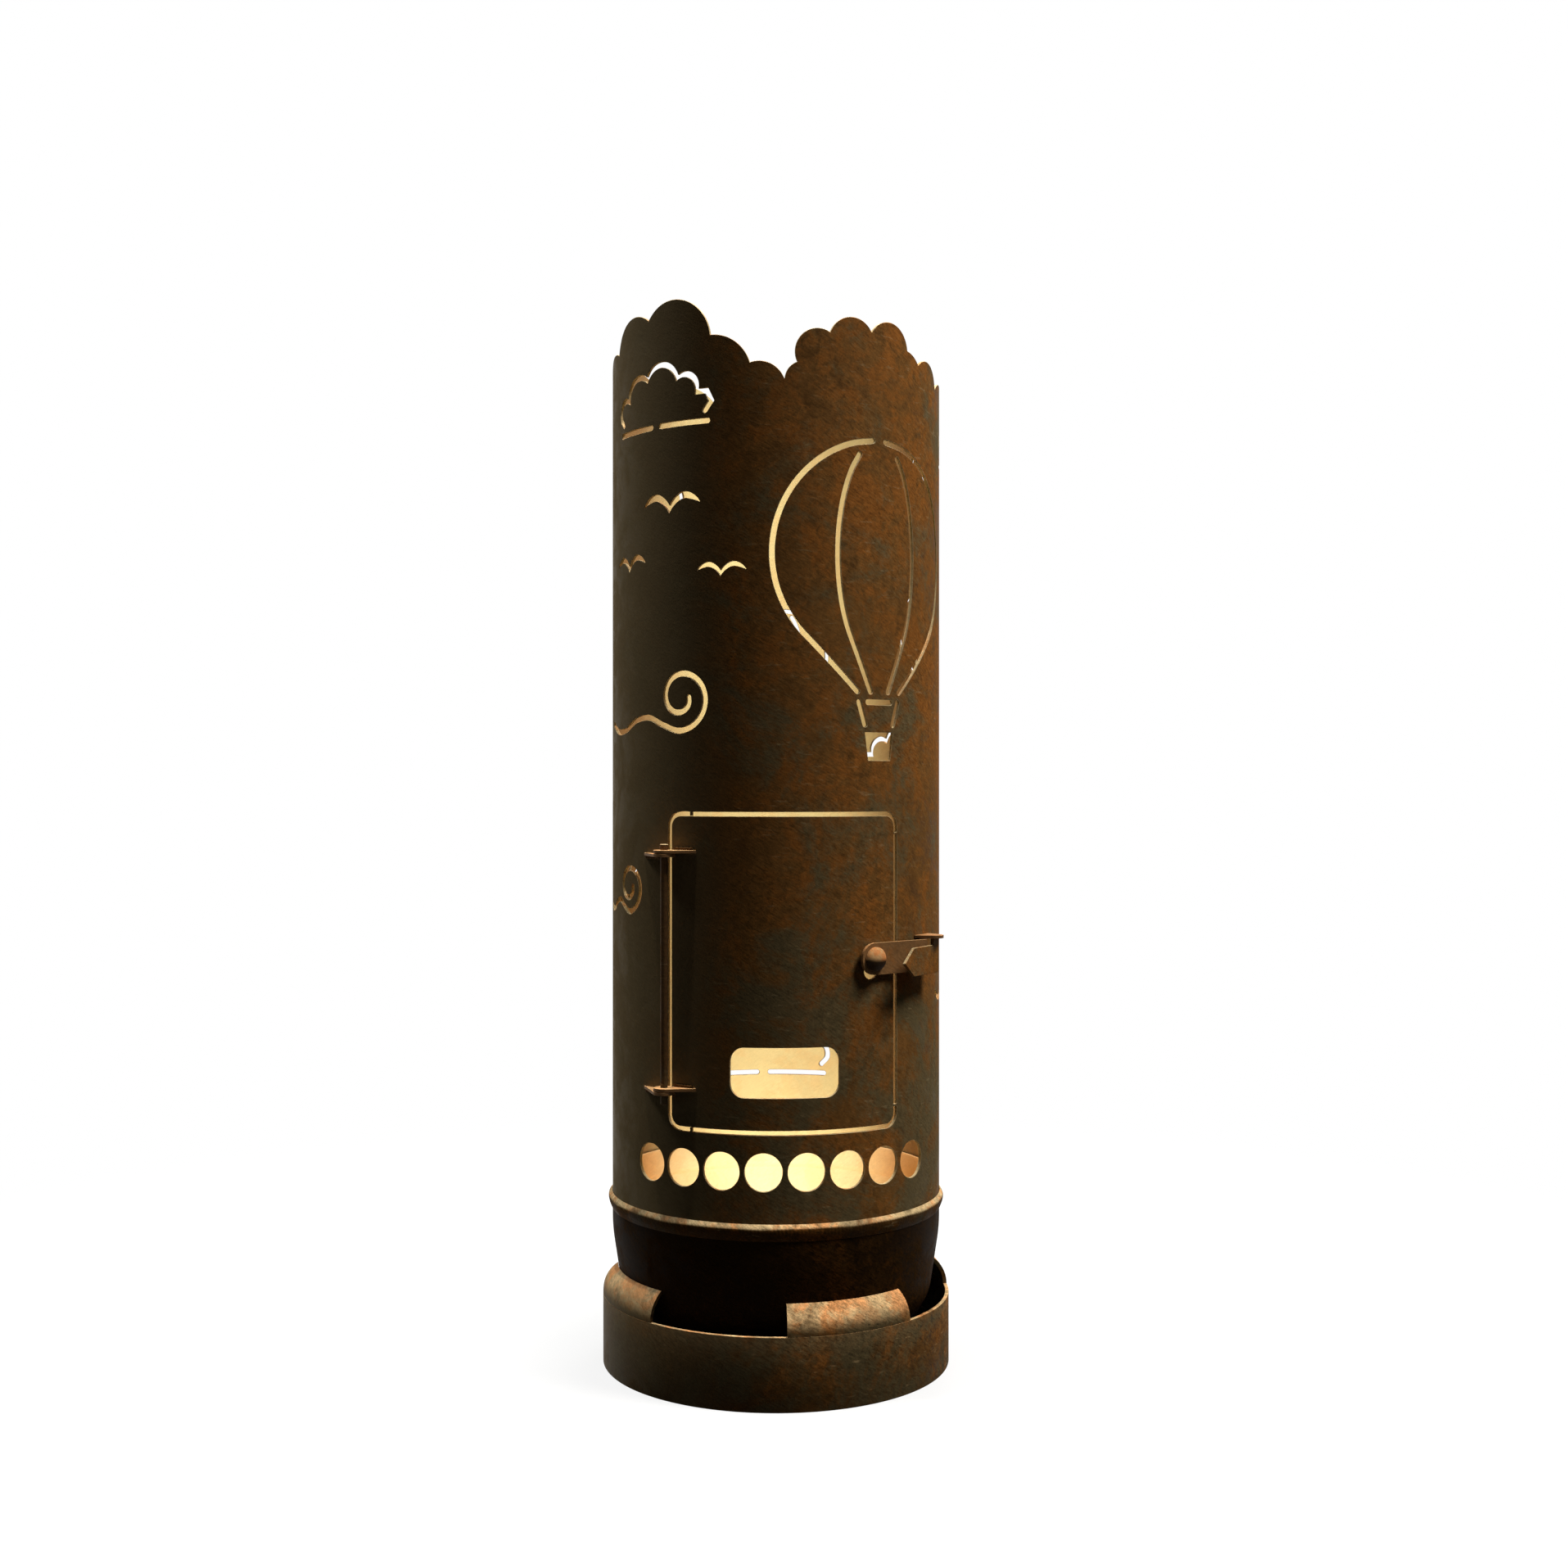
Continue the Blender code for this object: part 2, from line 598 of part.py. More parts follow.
def make_dish():
    """The dished end: joggled lip, tapered wall, knuckle and crown, as one turned sheet."""
    lip = (SHELL_INNER - GAP) * math.cos(math.pi / FACETS) - GAP
    slope = DISH_TAPER_INSET / (DISH_WALL_BOTTOM - DISH_TAPER_BOTTOM)
    lean = math.atan(slope)
    foot = (dish_wall_radius(DISH_TAPER_BOTTOM), DISH_TAPER_BOTTOM)
    knuckle = (foot[0] - DISH_KNUCKLE * math.cos(lean), foot[1] + DISH_KNUCKLE * math.sin(lean))
    # The crown's radius c solves k0^2 + (c + rise)^2 = (c - knuckle radius)^2
    rise = DISH_CLEARANCE - knuckle[1]
    crown = (DISH_KNUCKLE ** 2 - knuckle[0] ** 2 - rise ** 2) / (2 * (rise + DISH_KNUCKLE))
    top = DISH_CLEARANCE + crown
    tangent = math.atan2(knuckle[1] - top, knuckle[0])
    blend = DISH_SHOULDER_SHARE * (DISH_WALL_BOTTOM - DISH_TAPER_BOTTOM)
    profile = [
        (lip, DISH_LIP_TOP),
        (lip, SHELL_BOTTOM - GAP),
        (SHELL_RADIUS, SHELL_BOTTOM - DISH_JOGGLE_DROP),
        (SHELL_RADIUS, DISH_WALL_BOTTOM + blend),
        (dish_wall_radius(DISH_WALL_BOTTOM - blend), DISH_WALL_BOTTOM - blend),
    ]
    profile += arc(knuckle, DISH_KNUCKLE, -lean, tangent, DISH_KNUCKLE_SEGMENTS)
    profile += arc((0, top), crown, tangent, -math.pi / 2, DISH_CROWN_SEGMENTS)[1:]
    profile[-1] = (0, profile[-1][1])
    dish = turned("bottom_dish", profile, False, ROUND_STEPS, WALL_STEEL)
    wall = dish.modifiers.new("wall", "SOLIDIFY")
    wall.thickness = SHEET
    wall.offset = -1
    wall.use_even_offset = True


def make_girth_weld():
    """The wide bead over the joint of shell and dish."""
    inner = (SHELL_RADIUS + GAP) / ROUND_FLAT
    half = GIRTH_WELD_WIDTH / 2
    crown = SHELL_RADIUS + GIRTH_WELD_CROWN - inner
    profile = [(inner + crown * math.cos(a), GIRTH_WELD_MIDDLE + half * math.sin(a))
               for a in (math.pi * (0.5 - i / GIRTH_WELD_SEGMENTS)
                         for i in range(GIRTH_WELD_SEGMENTS + 1))]
    turned("girth_weld", profile, True, ROUND_STEPS, WELD_STEEL)


def make_foot_ring():
    """The foot: a rolled band whose top curls in to the dish, cut away in four places."""
    centre = (FOOT_RADIUS - FOOT_CURL, FOOT_BAND_HEIGHT - GAP)
    inner_curl = FOOT_CURL - FOOT_SHEET

    def end_angle(radius):
        """Where a curl of this radius comes a gap short of the dish, found by bisection."""
        low, high = 0.0, math.pi / 2
        for _ in range(40):
            angle = (low + high) / 2
            r = centre[0] + radius * math.cos(angle)
            z = centre[1] + radius * math.sin(angle)
            if r - GAP - GAP * ROUND_FLAT > dish_wall_radius(z):
                low = angle
            else:
                high = angle
        return low

    outer = arc(centre, FOOT_CURL, end_angle(FOOT_CURL), 0, FOOT_CURL_SEGMENTS)
    inner = arc(centre, inner_curl, 0, end_angle(inner_curl), FOOT_CURL_SEGMENTS)
    profile = outer + [(FOOT_RADIUS, 0), (FOOT_RADIUS - FOOT_SHEET, 0)] + inner
    ring = turned("foot_ring", profile, True, ROUND_STEPS, FOOT_STEEL)
    gap = math.radians(FOOT_GAP_ANGLE)
    turn = math.radians(FOOT_TURN_ANGLE - 90)
    pitch = 2 * math.pi / FOOT_GAPS
    loops = []
    for i in range(FOOT_GAPS):
        end = turn + i * pitch
        outside = arc((0, 0), FOOT_RADIUS + FOOT_CURL, end - gap, end, FOOT_CUT_SEGMENTS)
        inside = arc((0, 0), centre[0], end, end - gap, FOOT_CUT_SEGMENTS)
        loops.append(outside + inside)
    height = FOOT_CURL
    cutter = bpy.data.objects.new("foot_gap_cutter", sheet_mesh("foot_gap_cutter", loops, height))
    bpy.data.collections["fire_barrel_cutters"].objects.link(cutter)
    cutter.location.z = FOOT_BAND_HEIGHT + height / 2
    cutter.hide_render = True
    cutter.display_type = "WIRE"
    cut = ring.modifiers.new("gaps", "BOOLEAN")
    cut.operation = "DIFFERENCE"
    cut.object = cutter
    # The weld bead touches the dish's taper on one side and the curl's inside on the other
    reach = inner_curl - FOOT_WELD_RADIUS - GAP
    low, high = 0.0, math.pi / 2
    for _ in range(40):
        angle = (low + high) / 2
        r = centre[0] + reach * math.cos(angle)
        z = centre[1] + reach * math.sin(angle)
        if r - FOOT_WELD_RADIUS - GAP > dish_wall_radius(z):
            low = angle
        else:
            high = angle
    for i in range(FOOT_GAPS):
        middle = turn + math.pi / 2 + i * pitch + (pitch - gap) / 2
        half = math.radians(FOOT_WELD_ANGLE)
        points = [round_axis(r, middle + half * (2 * k / (WELD_POINTS - 1) - 1), z)
                  for k in range(WELD_POINTS)]
        bead(f"foot_ring_weld_{i + 1}", points, FOOT_WELD_RADIUS, WELD_STEEL)


def tangent_point(place, centre, radius, side):
    """Where a line from a place touches a circle, on its left (1) or right (-1) side."""
    away = Vector(centre) - Vector(place)
    angle = math.atan2(away.y, away.x) + side * math.asin(radius / away.length)
    reach = math.sqrt(away.length ** 2 - radius ** 2)
    return (place[0] + reach * math.cos(angle), place[1] + reach * math.sin(angle))


def ear_outline(nose_reach, nose, root_start, root_end):
    """A horizontal ear: a root along the shell, and straight sides that touch a round nose.

    Local x points out from the barrel's axis through the nose, and y is along the shell.
    """
    root = SHELL_RADIUS + GAP
    centre = (nose_reach, 0)
    outline = arc((0, 0), root, root_end / SHELL_RADIUS, root_start / SHELL_RADIUS,
                  EAR_ROOT_SEGMENTS)
    touch_first = tangent_point(outline[-1], centre, nose, -1)
    touch_last = tangent_point(outline[0], centre, nose, 1)
    start = math.atan2(touch_first[1], touch_first[0] - nose_reach)
    end = math.atan2(touch_last[1], touch_last[0] - nose_reach)
    return outline + arc(centre, nose, start, end, EAR_NOSE_SEGMENTS)


def make_ear(name, azimuth, bottom, outline, hole, finish, parent=None):
    """An ear at this azimuth, with a pin hole where a hole's radius is given."""
    loops = [outline]
    if hole:
        loops.append(circle((HINGE_RADIUS, 0), hole, PIN_HOLE_SEGMENTS))
    ear = plate(name, loops, EAR_THICKNESS, finish, parent)
    ear.rotation_euler.z = azimuth - math.pi / 2
    ear.location.z = bottom + EAR_THICKNESS / 2
    if parent:
        ear.location.x = -parent.location.x
        ear.location.y = -parent.location.y
        ear.location.z -= parent.location.z
    return ear


def ear_weld(name, azimuth, start, end, z, finish, parent=None):
    """A bead in the corner of an ear and the shell, between two places along the shell."""
    radius = SHELL_RADIUS + GAP + EAR_WELD_RADIUS
    places = []
    for k in range(WELD_POINTS):
        along = start + (end - start) * k / (WELD_POINTS - 1)
        places.append(Vector(round_axis(radius, azimuth + along / SHELL_RADIUS, z)))
    if parent:
        places = [p - parent.location for p in places]
    bead(name, places, EAR_WELD_RADIUS, finish, parent)


def make_hinge(door_pivot):
    """Two pairs of ears, the door's resting on the shell's, and the rod through all four."""
    hole = ROD_RADIUS + PIN_CLEARANCE
    weld_drop = GAP + EAR_WELD_RADIUS
    levels = {
        "upper": DOOR_TOP - UPPER_EAR_SET_BACK - EAR_THICKNESS,
        "lower": DOOR_BOTTOM + LOWER_EAR_SET_BACK - EAR_THICKNESS,
    }
    slot = DOOR_SLOT
    door_side = ear_outline(HINGE_RADIUS, EAR_NOSE, 0, DOOR_EAR_ROOT)
    shell_side = ear_outline(HINGE_RADIUS, EAR_NOSE, -slot - SHELL_EAR_ROOT, -slot)
    for level, door_level in levels.items():
        shell_level = door_level - EAR_PAIR_GAP - EAR_THICKNESS
        make_ear(f"door_ear_{level}", HINGE_AZIMUTH, door_level, door_side, hole,
                 HINGE_STEEL, door_pivot)
        make_ear(f"shell_ear_{level}", HINGE_AZIMUTH, shell_level, shell_side, hole, HINGE_STEEL)
        ear_weld(f"door_ear_weld_{level}", HINGE_AZIMUTH, EAR_WELD_INSET,
                 DOOR_EAR_ROOT - EAR_WELD_INSET, door_level + EAR_THICKNESS + weld_drop,
                 WELD_STEEL, door_pivot)
        ear_weld(f"shell_ear_weld_{level}", HINGE_AZIMUTH,
                 EAR_WELD_INSET - slot - SHELL_EAR_ROOT, -slot - EAR_WELD_INSET,
                 shell_level - weld_drop, WELD_STEEL)
    seat = levels["upper"] + EAR_THICKNESS + GAP
    tail = levels["lower"] - EAR_PAIR_GAP - EAR_THICKNESS - ROD_TAIL
    chamfer = ROD_HEAD_RADIUS - ROD_RADIUS
    profile = [
        (0, seat + ROD_HEAD_HEIGHT),
        (ROD_RADIUS, seat + ROD_HEAD_HEIGHT),
        (ROD_HEAD_RADIUS, seat + ROD_HEAD_HEIGHT - chamfer),
        (ROD_HEAD_RADIUS, seat),
        (ROD_RADIUS, seat),
        (ROD_RADIUS, tail + chamfer),
        (ROD_RADIUS - chamfer, tail),
        (0, tail),
    ]
    rod = turned("hinge_rod", profile, False, ROD_STEPS, HINGE_STEEL)
    rod.location = round_axis(HINGE_RADIUS, HINGE_AZIMUTH, 0)


def make_door(door_pivot):
    """The curved panel that was cut from the shell, with its window and the latch's hole."""
    edge = rounded_box((-DOOR_EDGE, DOOR_BOTTOM), (DOOR_EDGE, DOOR_TOP), DOOR_CORNER,
                       CORNER_SEGMENTS)
    half = WINDOW_HEIGHT / 2
    window = rounded_box((-WINDOW_WIDTH / 2, WINDOW_MIDDLE - half),
                         (WINDOW_WIDTH / 2, WINDOW_MIDDLE + half), WINDOW_CORNER,
                         WINDOW_CORNER_SEGMENTS)
    low = (BOLT_ALONG, ARM_LEVEL - LATCH_HOLE_DROP)
    high = (BOLT_ALONG, ARM_LEVEL)
    hole = arc(low, LATCH_HOLE_RADIUS, math.pi, 2 * math.pi, LATCH_HOLE_SEGMENTS)
    hole += arc(high, LATCH_HOLE_RADIUS, 0, math.pi, LATCH_HOLE_SEGMENTS)
    mesh = roll(sheet_mesh("door_panel", [edge, window, hole], SHEET), False)
    smooth(mesh)
    panel = add("door_panel", mesh, DOOR_STEEL, door_pivot)
    panel.location = -door_pivot.location


def latch_place(distance, across=-ARM_PIVOT_BACK, z=ARM_LEVEL):
    """A point in the arm's frame: out from the axis, across to its right, and up."""
    out = Vector(round_axis(distance, ARM_AZIMUTH, z))
    right = Vector((math.cos(ARM_AZIMUTH), math.sin(ARM_AZIMUTH), 0))
    return out + right * across


def make_latch(door_pivot, latch_pivot):
    """The arm on its bolt, with the washers and nut that hold it to the door."""
    facing = (math.pi / 2, 0, ARM_AZIMUTH)

    def seat(piece, distance):
        piece.rotation_euler = facing
        piece.location = latch_place(distance) - piece.parent.location
        if piece.parent.parent:
            piece.location -= piece.parent.parent.location

    half = ARM_WIDTH / 2
    outline = arc((0, 0), half, math.pi / 2, 3 * math.pi / 2, ARM_SEGMENTS)
    outline += [(ARM_REACH, -half), (ARM_REACH, half)]
    hole = circle((0, 0), BOLT_RADIUS + BOLT_CLEARANCE, BOLT_HOLE_SEGMENTS)
    arm = plate("latch_arm", [outline, hole], ARM_THICKNESS, LATCH_STEEL, latch_pivot)
    seat(arm, (ARM_BACK + ARM_FRONT) / 2)

    # The spacer lies between the arm and the highest part of the door under its edge
    ring = circle((0, 0), BOLT_RADIUS + GAP, BOLT_HOLE_SEGMENTS)
    door_at = SHELL_RADIUS + GAP
    spacer_front = ARM_BACK - GAP
    spacer = plate("latch_spacer", [circle((0, 0), SPACER_RADIUS, WASHER_SEGMENTS), ring],
                   spacer_front - door_at, LATCH_STEEL, door_pivot)
    seat(spacer, (spacer_front + door_at) / 2)

    # The inner washer's far edge is the first to meet the curved inside of the door
    edge = ARM_PIVOT_BACK + INNER_WASHER_RADIUS
    inside = math.sqrt((SHELL_INNER * math.cos(FACET_ANGLE / 2)) ** 2 - edge ** 2) - GAP
    disc = circle((0, 0), INNER_WASHER_RADIUS, WASHER_SEGMENTS)
    washer = plate("latch_inner_washer", [disc, ring], INNER_WASHER_THICKNESS, LATCH_STEEL,
                   door_pivot)
    seat(washer, inside - INNER_WASHER_THICKNESS / 2)
    nut_front = inside - INNER_WASHER_THICKNESS - GAP
    nut = plate("latch_nut", [circle((0, 0), NUT_ACROSS_CORNERS / 2, NUT_SIDES), ring],
                NUT_HEIGHT, LATCH_STEEL, door_pivot)
    seat(nut, nut_front - NUT_HEIGHT / 2)

    head = ARM_FRONT + GAP
    tail = nut_front - NUT_HEIGHT - BOLT_TAIL
    dome = [(BOLT_HEAD_RADIUS * math.sin(a), BOLT_HEAD_HEIGHT * math.cos(a))
            for a in (math.pi / 2 * i / BOLT_DOME_SEGMENTS for i in range(BOLT_DOME_SEGMENTS + 1))]
    shank = BOLT_RADIUS * math.cos(math.pi / BOLT_STEPS)
    profile = dome + [(shank, 0), (shank, tail - head), (0, tail - head)]
    bolt = turned("latch_bolt", profile, False, BOLT_STEPS, LATCH_STEEL, door_pivot)
    seat(bolt, head)


def make_keeper():
    """The ear on the shell and the pointed hook under its nose, in front of the arm's end."""
    turn = KEEPER_AZIMUTH - ARM_AZIMUTH
    corner = math.hypot(ARM_REACH, ARM_WIDTH / 2) - ARM_PIVOT_BACK
    back = ARM_FRONT * math.cos(turn) + corner * math.sin(turn) + HOOK_CLEARANCE
    middle = back + HOOK_THICKNESS / 2
    outline = ear_outline(middle, KEEPER_NOSE, -KEEPER_EAR_HALF_ROOT, KEEPER_EAR_HALF_ROOT)
    make_ear("keeper_ear", KEEPER_AZIMUTH, KEEPER_EAR_LEVEL, outline, 0, LATCH_STEEL)
    ear_weld("keeper_ear_weld", KEEPER_AZIMUTH, EAR_WELD_INSET - KEEPER_EAR_HALF_ROOT,
             KEEPER_EAR_HALF_ROOT - EAR_WELD_INSET,
             KEEPER_EAR_LEVEL - GAP - EAR_WELD_RADIUS, WELD_STEEL)
    right = HOOK_NECK / 2
    left = right - HOOK_LENGTH
    ear = KEEPER_EAR_LEVEL - GAP
    top = KEEPER_EAR_LEVEL - HOOK_DROP
    bottom = top - HOOK_HEIGHT
    outline = [
        (right, ear), (-right, ear), (-right, top), (left + HOOK_POINT, top),
        (left, (top + bottom) / 2), (left + HOOK_POINT, bottom), (right, bottom),
    ]
    hook = plate("keeper_hook", [outline], HOOK_THICKNESS, LATCH_STEEL)
    hook.rotation_euler = (math.pi / 2, 0, KEEPER_AZIMUTH)
    hook.location = round_axis(middle, KEEPER_AZIMUTH, 0)


def main():
    for old in list(bpy.data.objects):
        bpy.data.objects.remove(old)
    for name in ("fire_barrel", "fire_barrel_cutters"):
        bpy.context.scene.collection.children.link(bpy.data.collections.new(name))
    door_pivot = empty("door_pivot", round_axis(HINGE_RADIUS, HINGE_AZIMUTH, 0))
    latch_pivot = empty("latch_pivot", latch_place(ARM_FRONT), door_pivot)
    make_shell()
    make_dish()
    make_girth_weld()
    make_foot_ring()
    make_hinge(door_pivot)
    make_door(door_pivot)
    make_latch(door_pivot, latch_pivot)
    make_keeper()


main()
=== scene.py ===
"""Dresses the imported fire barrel: fine sheet metal with soft cut edges, turned and welded
surfaces, rusted steel finishes, a studio and the camera.

An azimuth is an angle about +Z from the front (-Y), positive towards +X. "Along" is the
distance round the shell's outer surface, positive the same way.
"""

from math import atan, atan2, ceil, cos, pi, radians, sin

import bmesh
import bpy
import numpy as np
from bpy.props import FloatProperty, FloatVectorProperty, IntProperty, PointerProperty
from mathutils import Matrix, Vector
from mathutils.geometry import delaunay_2d_cdt


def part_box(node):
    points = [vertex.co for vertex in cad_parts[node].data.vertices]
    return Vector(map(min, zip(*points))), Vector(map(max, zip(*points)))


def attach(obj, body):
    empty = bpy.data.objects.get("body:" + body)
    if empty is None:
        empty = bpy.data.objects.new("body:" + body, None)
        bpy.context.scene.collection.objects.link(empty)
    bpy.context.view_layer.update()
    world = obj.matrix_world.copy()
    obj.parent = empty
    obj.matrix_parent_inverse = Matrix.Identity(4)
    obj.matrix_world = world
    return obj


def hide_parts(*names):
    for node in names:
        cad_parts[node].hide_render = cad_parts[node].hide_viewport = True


bl_info = {
    "name": "Fire Barrel",
    "version": (1, 0, 0),
    "blender": (4, 5, 0),
    "location": "View3D > Sidebar > Fire Barrel",
    "description": "Builds the visible surfaces, finishes and studio of a steel fire barrel",
    "category": "Object",
}

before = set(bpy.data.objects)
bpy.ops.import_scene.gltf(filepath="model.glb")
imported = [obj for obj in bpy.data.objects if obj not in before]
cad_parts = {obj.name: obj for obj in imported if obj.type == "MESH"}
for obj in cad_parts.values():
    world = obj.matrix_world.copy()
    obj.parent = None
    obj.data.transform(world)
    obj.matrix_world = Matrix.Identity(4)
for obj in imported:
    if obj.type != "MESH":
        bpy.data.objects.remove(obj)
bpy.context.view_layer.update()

# Sizes of the barrel that its fine surfaces follow
SHELL_RADIUS = 0.159
SHELL_ROUND = 2 * pi * SHELL_RADIUS
SHEET = 0.003
SEAM_AZIMUTH = radians(150)
HINGE_AZIMUTH = -0.110 / SHELL_RADIUS
HINGE_RADIUS = 0.1695
ARM_AZIMUTH = 0.0988 / SHELL_RADIUS
ARM_LEVEL = 0.400
BOLT_ACROSS = -0.0163
DISH_WALL = 0.130
DISH_TAPER_END = 0.078
DISH_TAPER = 0.008
DISH_SLOPE = DISH_TAPER / (DISH_WALL - DISH_TAPER_END)
DISH_FLOOR = 0.12

# The photo's camera: a square picture, and where it was taken from
PHOTO_PIXELS = 1915
FOCAL_PIXELS = 2240.2456
CENTRE_PIXEL = 947.677
CAMERA_SENSOR = 36.0
CAMERA_AZIMUTH = radians(-3.0)
CAMERA_DISTANCE = 1.79417
CAMERA_LEVEL = 0.55806

# Lamps: azimuth in degrees, distance, level, what it points at, width, watts, colour
LAMPS = {
    "key": (70, 2.3, 4.05, 0.45, 1.5, 215, (1.0, 0.96, 0.90)),
    "side": (-117, 2.4, 3.6, 0.45, 0.7, 66, (0.94, 0.98, 1.0)),
    "ledge": (-60, 0.5, 4.1, 0.0, 0.1, 48, (1.0, 0.96, 0.90)),
    "back": (160, 1.3, 2.0, 0.45, 0.8, 12, (1.0, 0.97, 0.93)),
    "top": (0, 0, 2.9, 0.0, 0.3, 54, (1.0, 0.97, 0.92)),
}

# Strips of light inside the barrel: lower end, upper end, watts
GLOWS = ((0.05, 0.17, 0.25), (0.17, 0.42, 0.135), (0.42, 0.96, 0.35))
GLOW_COLOUR = (1.0, 0.98, 0.90)
GLOW_WIDTH = 0.03
GLOW_SPREAD = radians(140)
FLOOR_REACH = 60

# What the weathered steel takes
# the dust colour is also painted top light, and the lee colour partly a painted sheen
TONES = ("Scale Colour", "Rust Colour", "Bloom Colour", "Patina Colour", "Dust Colour",
         "Lee And Sheen Colour")
SHARES = ("Rust", "Bloom", "Patina", "Grain")

# Points nearer than this are one, and edges over these angles stay sharp
SAME_POINT = 2e-6
SHARP = radians(40)
SHARP_WELD = radians(70)
SHARP_PLATE = radians(35)


class BarrelSizes(bpy.types.PropertyGroup):
    """Sizes of the fine surfaces."""

    edge_round: FloatProperty(
        name="Cut edge rounding", description="How far a cut edge is rounded off",
        default=0.0004, min=0.0, unit="LENGTH")
    curve_step: FloatProperty(
        name="Curve step", description="Length of a step along a curved cut",
        default=0.0018, min=0.0005, unit="LENGTH")
    straight_step: FloatProperty(
        name="Straight step", description="Longest step along a straight cut",
        default=0.006, min=0.001, unit="LENGTH")
    sheet_grid: FloatProperty(
        name="Sheet grid", description="Distance between the inner points of a rolled sheet",
        default=0.008, min=0.002, unit="LENGTH")
    turn_steps: IntProperty(
        name="Turned steps", description="Steps round a turned piece", default=192, min=24)
    ripple_pitch: FloatProperty(
        name="Weld ripple pitch", description="Distance between two ripples of a weld",
        default=0.0034, min=0.0005, unit="LENGTH")
    ripple_height: FloatProperty(
        name="Weld ripple height", description="Height of a weld's ripples",
        default=0.00022, min=0.0, unit="LENGTH")
    plate_round: FloatProperty(
        name="Plate edge rounding", description="Radius of the edges of flat plates",
        default=0.0005, min=0.0, unit="LENGTH")


class BarrelColours(bpy.types.PropertyGroup):
    """Colours of the finishes."""

    scale: FloatVectorProperty(
        name="Mill scale", description="Dark scale of the wall", subtype="COLOR",
        default=(0.098, 0.044, 0.0115), size=3, min=0, max=1)
    rust: FloatVectorProperty(
        name="Rust", description="Brown rust", subtype="COLOR",
        default=(0.165, 0.076, 0.020), size=3, min=0, max=1)
    bloom: FloatVectorProperty(
        name="Rust bloom", description="Fresh orange-red rust", subtype="COLOR",
        default=(0.215, 0.080, 0.016), size=3, min=0, max=1)
    patina: FloatVectorProperty(
        name="Patina", description="Grey-green patches", subtype="COLOR",
        default=(0.100, 0.077, 0.036), size=3, min=0, max=1)
    # Grey of one side: partly weathering, partly a painted sheen on that side
    lee_and_sheen: FloatVectorProperty(
        name="Sheltered side and sheen", description="Smooth grey scale of the sheltered side",
        subtype="COLOR", default=(0.145, 0.105, 0.050), size=3, min=0, max=1)
    # Also painted top light: faces that look up take this pale colour
    dust_and_top_light: FloatVectorProperty(
        name="Dust And Painted Light", description="Pale rust that settles on top", subtype="COLOR",
        default=(0.480, 0.370, 0.200), size=3, min=0, max=1)
    # Also painted top light on the tops of ears, bolt, welds and foot, and the brown base of the
    # inner sides
    tan: FloatVectorProperty(
        name="Tan rust and top light", description="Bright rust on the tops of ears and bolt", subtype="COLOR",
        default=(0.520, 0.300, 0.130), size=3, min=0, max=1)
    ash: FloatVectorProperty(
        name="Ash", description="Pale ash inside the barrel", subtype="COLOR",
        default=(0.620, 0.520, 0.260), size=3, min=0, max=1)
    fitting: FloatVectorProperty(
        name="Fittings", description="Brown of hinge and latch", subtype="COLOR",
        default=(0.170, 0.084, 0.030), size=3, min=0, max=1)


def sizes():
    """The sizes that the user sets."""
    return bpy.context.scene.barrel_sizes


def colours():
    """The colours that the user sets."""
    return bpy.context.scene.barrel_colours


def radial(azimuth):
    """Unit vectors out from the axis at these azimuths: (sin a, -cos a, 0)."""
    azimuth = np.asarray(azimuth, float)
    return np.stack([np.sin(azimuth), -np.cos(azimuth), np.zeros_like(azimuth)], -1)


def around(azimuth, radius, height):
    """Points at these azimuths, radii and heights: (r sin a, -r cos a, z)."""
    points = radial(azimuth) * np.asarray(radius)[..., None]
    points[..., 2] = height
    return points


def new_object(name, data):
    """A new object with this mesh, lamp or camera, in the scene."""
    made = bpy.data.objects.new(name, data)
    bpy.context.scene.collection.objects.link(made)
    return made


def vectors(items, key):
    """A vector property of each item, as an array with a row for each."""
    values = np.empty(len(items) * 3)
    items.foreach_get(key, values)
    return values.reshape(-1, 3)


def new_mesh(name, points, faces, normals=None):
    """A mesh object from arrays: points, a list of faces, and a normal for each corner."""
    mesh = bpy.data.meshes.new(name)
    mesh.from_pydata(np.asarray(points, float).tolist(), [], faces)
    mesh.polygons.foreach_set("use_smooth", np.ones(len(mesh.polygons), bool))
    if normals is not None:
        mesh.normals_split_custom_set(np.asarray(normals, float).tolist())
    mesh.update()
    return new_object(name, mesh)


def settle(piece, body, node, finish):
    """Gives a piece its finish and its body, and hides the node that it stands for."""
    mesh = piece.data
    which = np.zeros(len(mesh.polygons), np.int32)
    mesh.polygons.foreach_get("material_index", which)
    mesh.materials.clear()
    for material in finish:
        mesh.materials.append(material)
    mesh.polygons.foreach_set("material_index", np.minimum(which, len(finish) - 1))
    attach(piece, body)
    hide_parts(node)
    return piece


# Rolled sheets


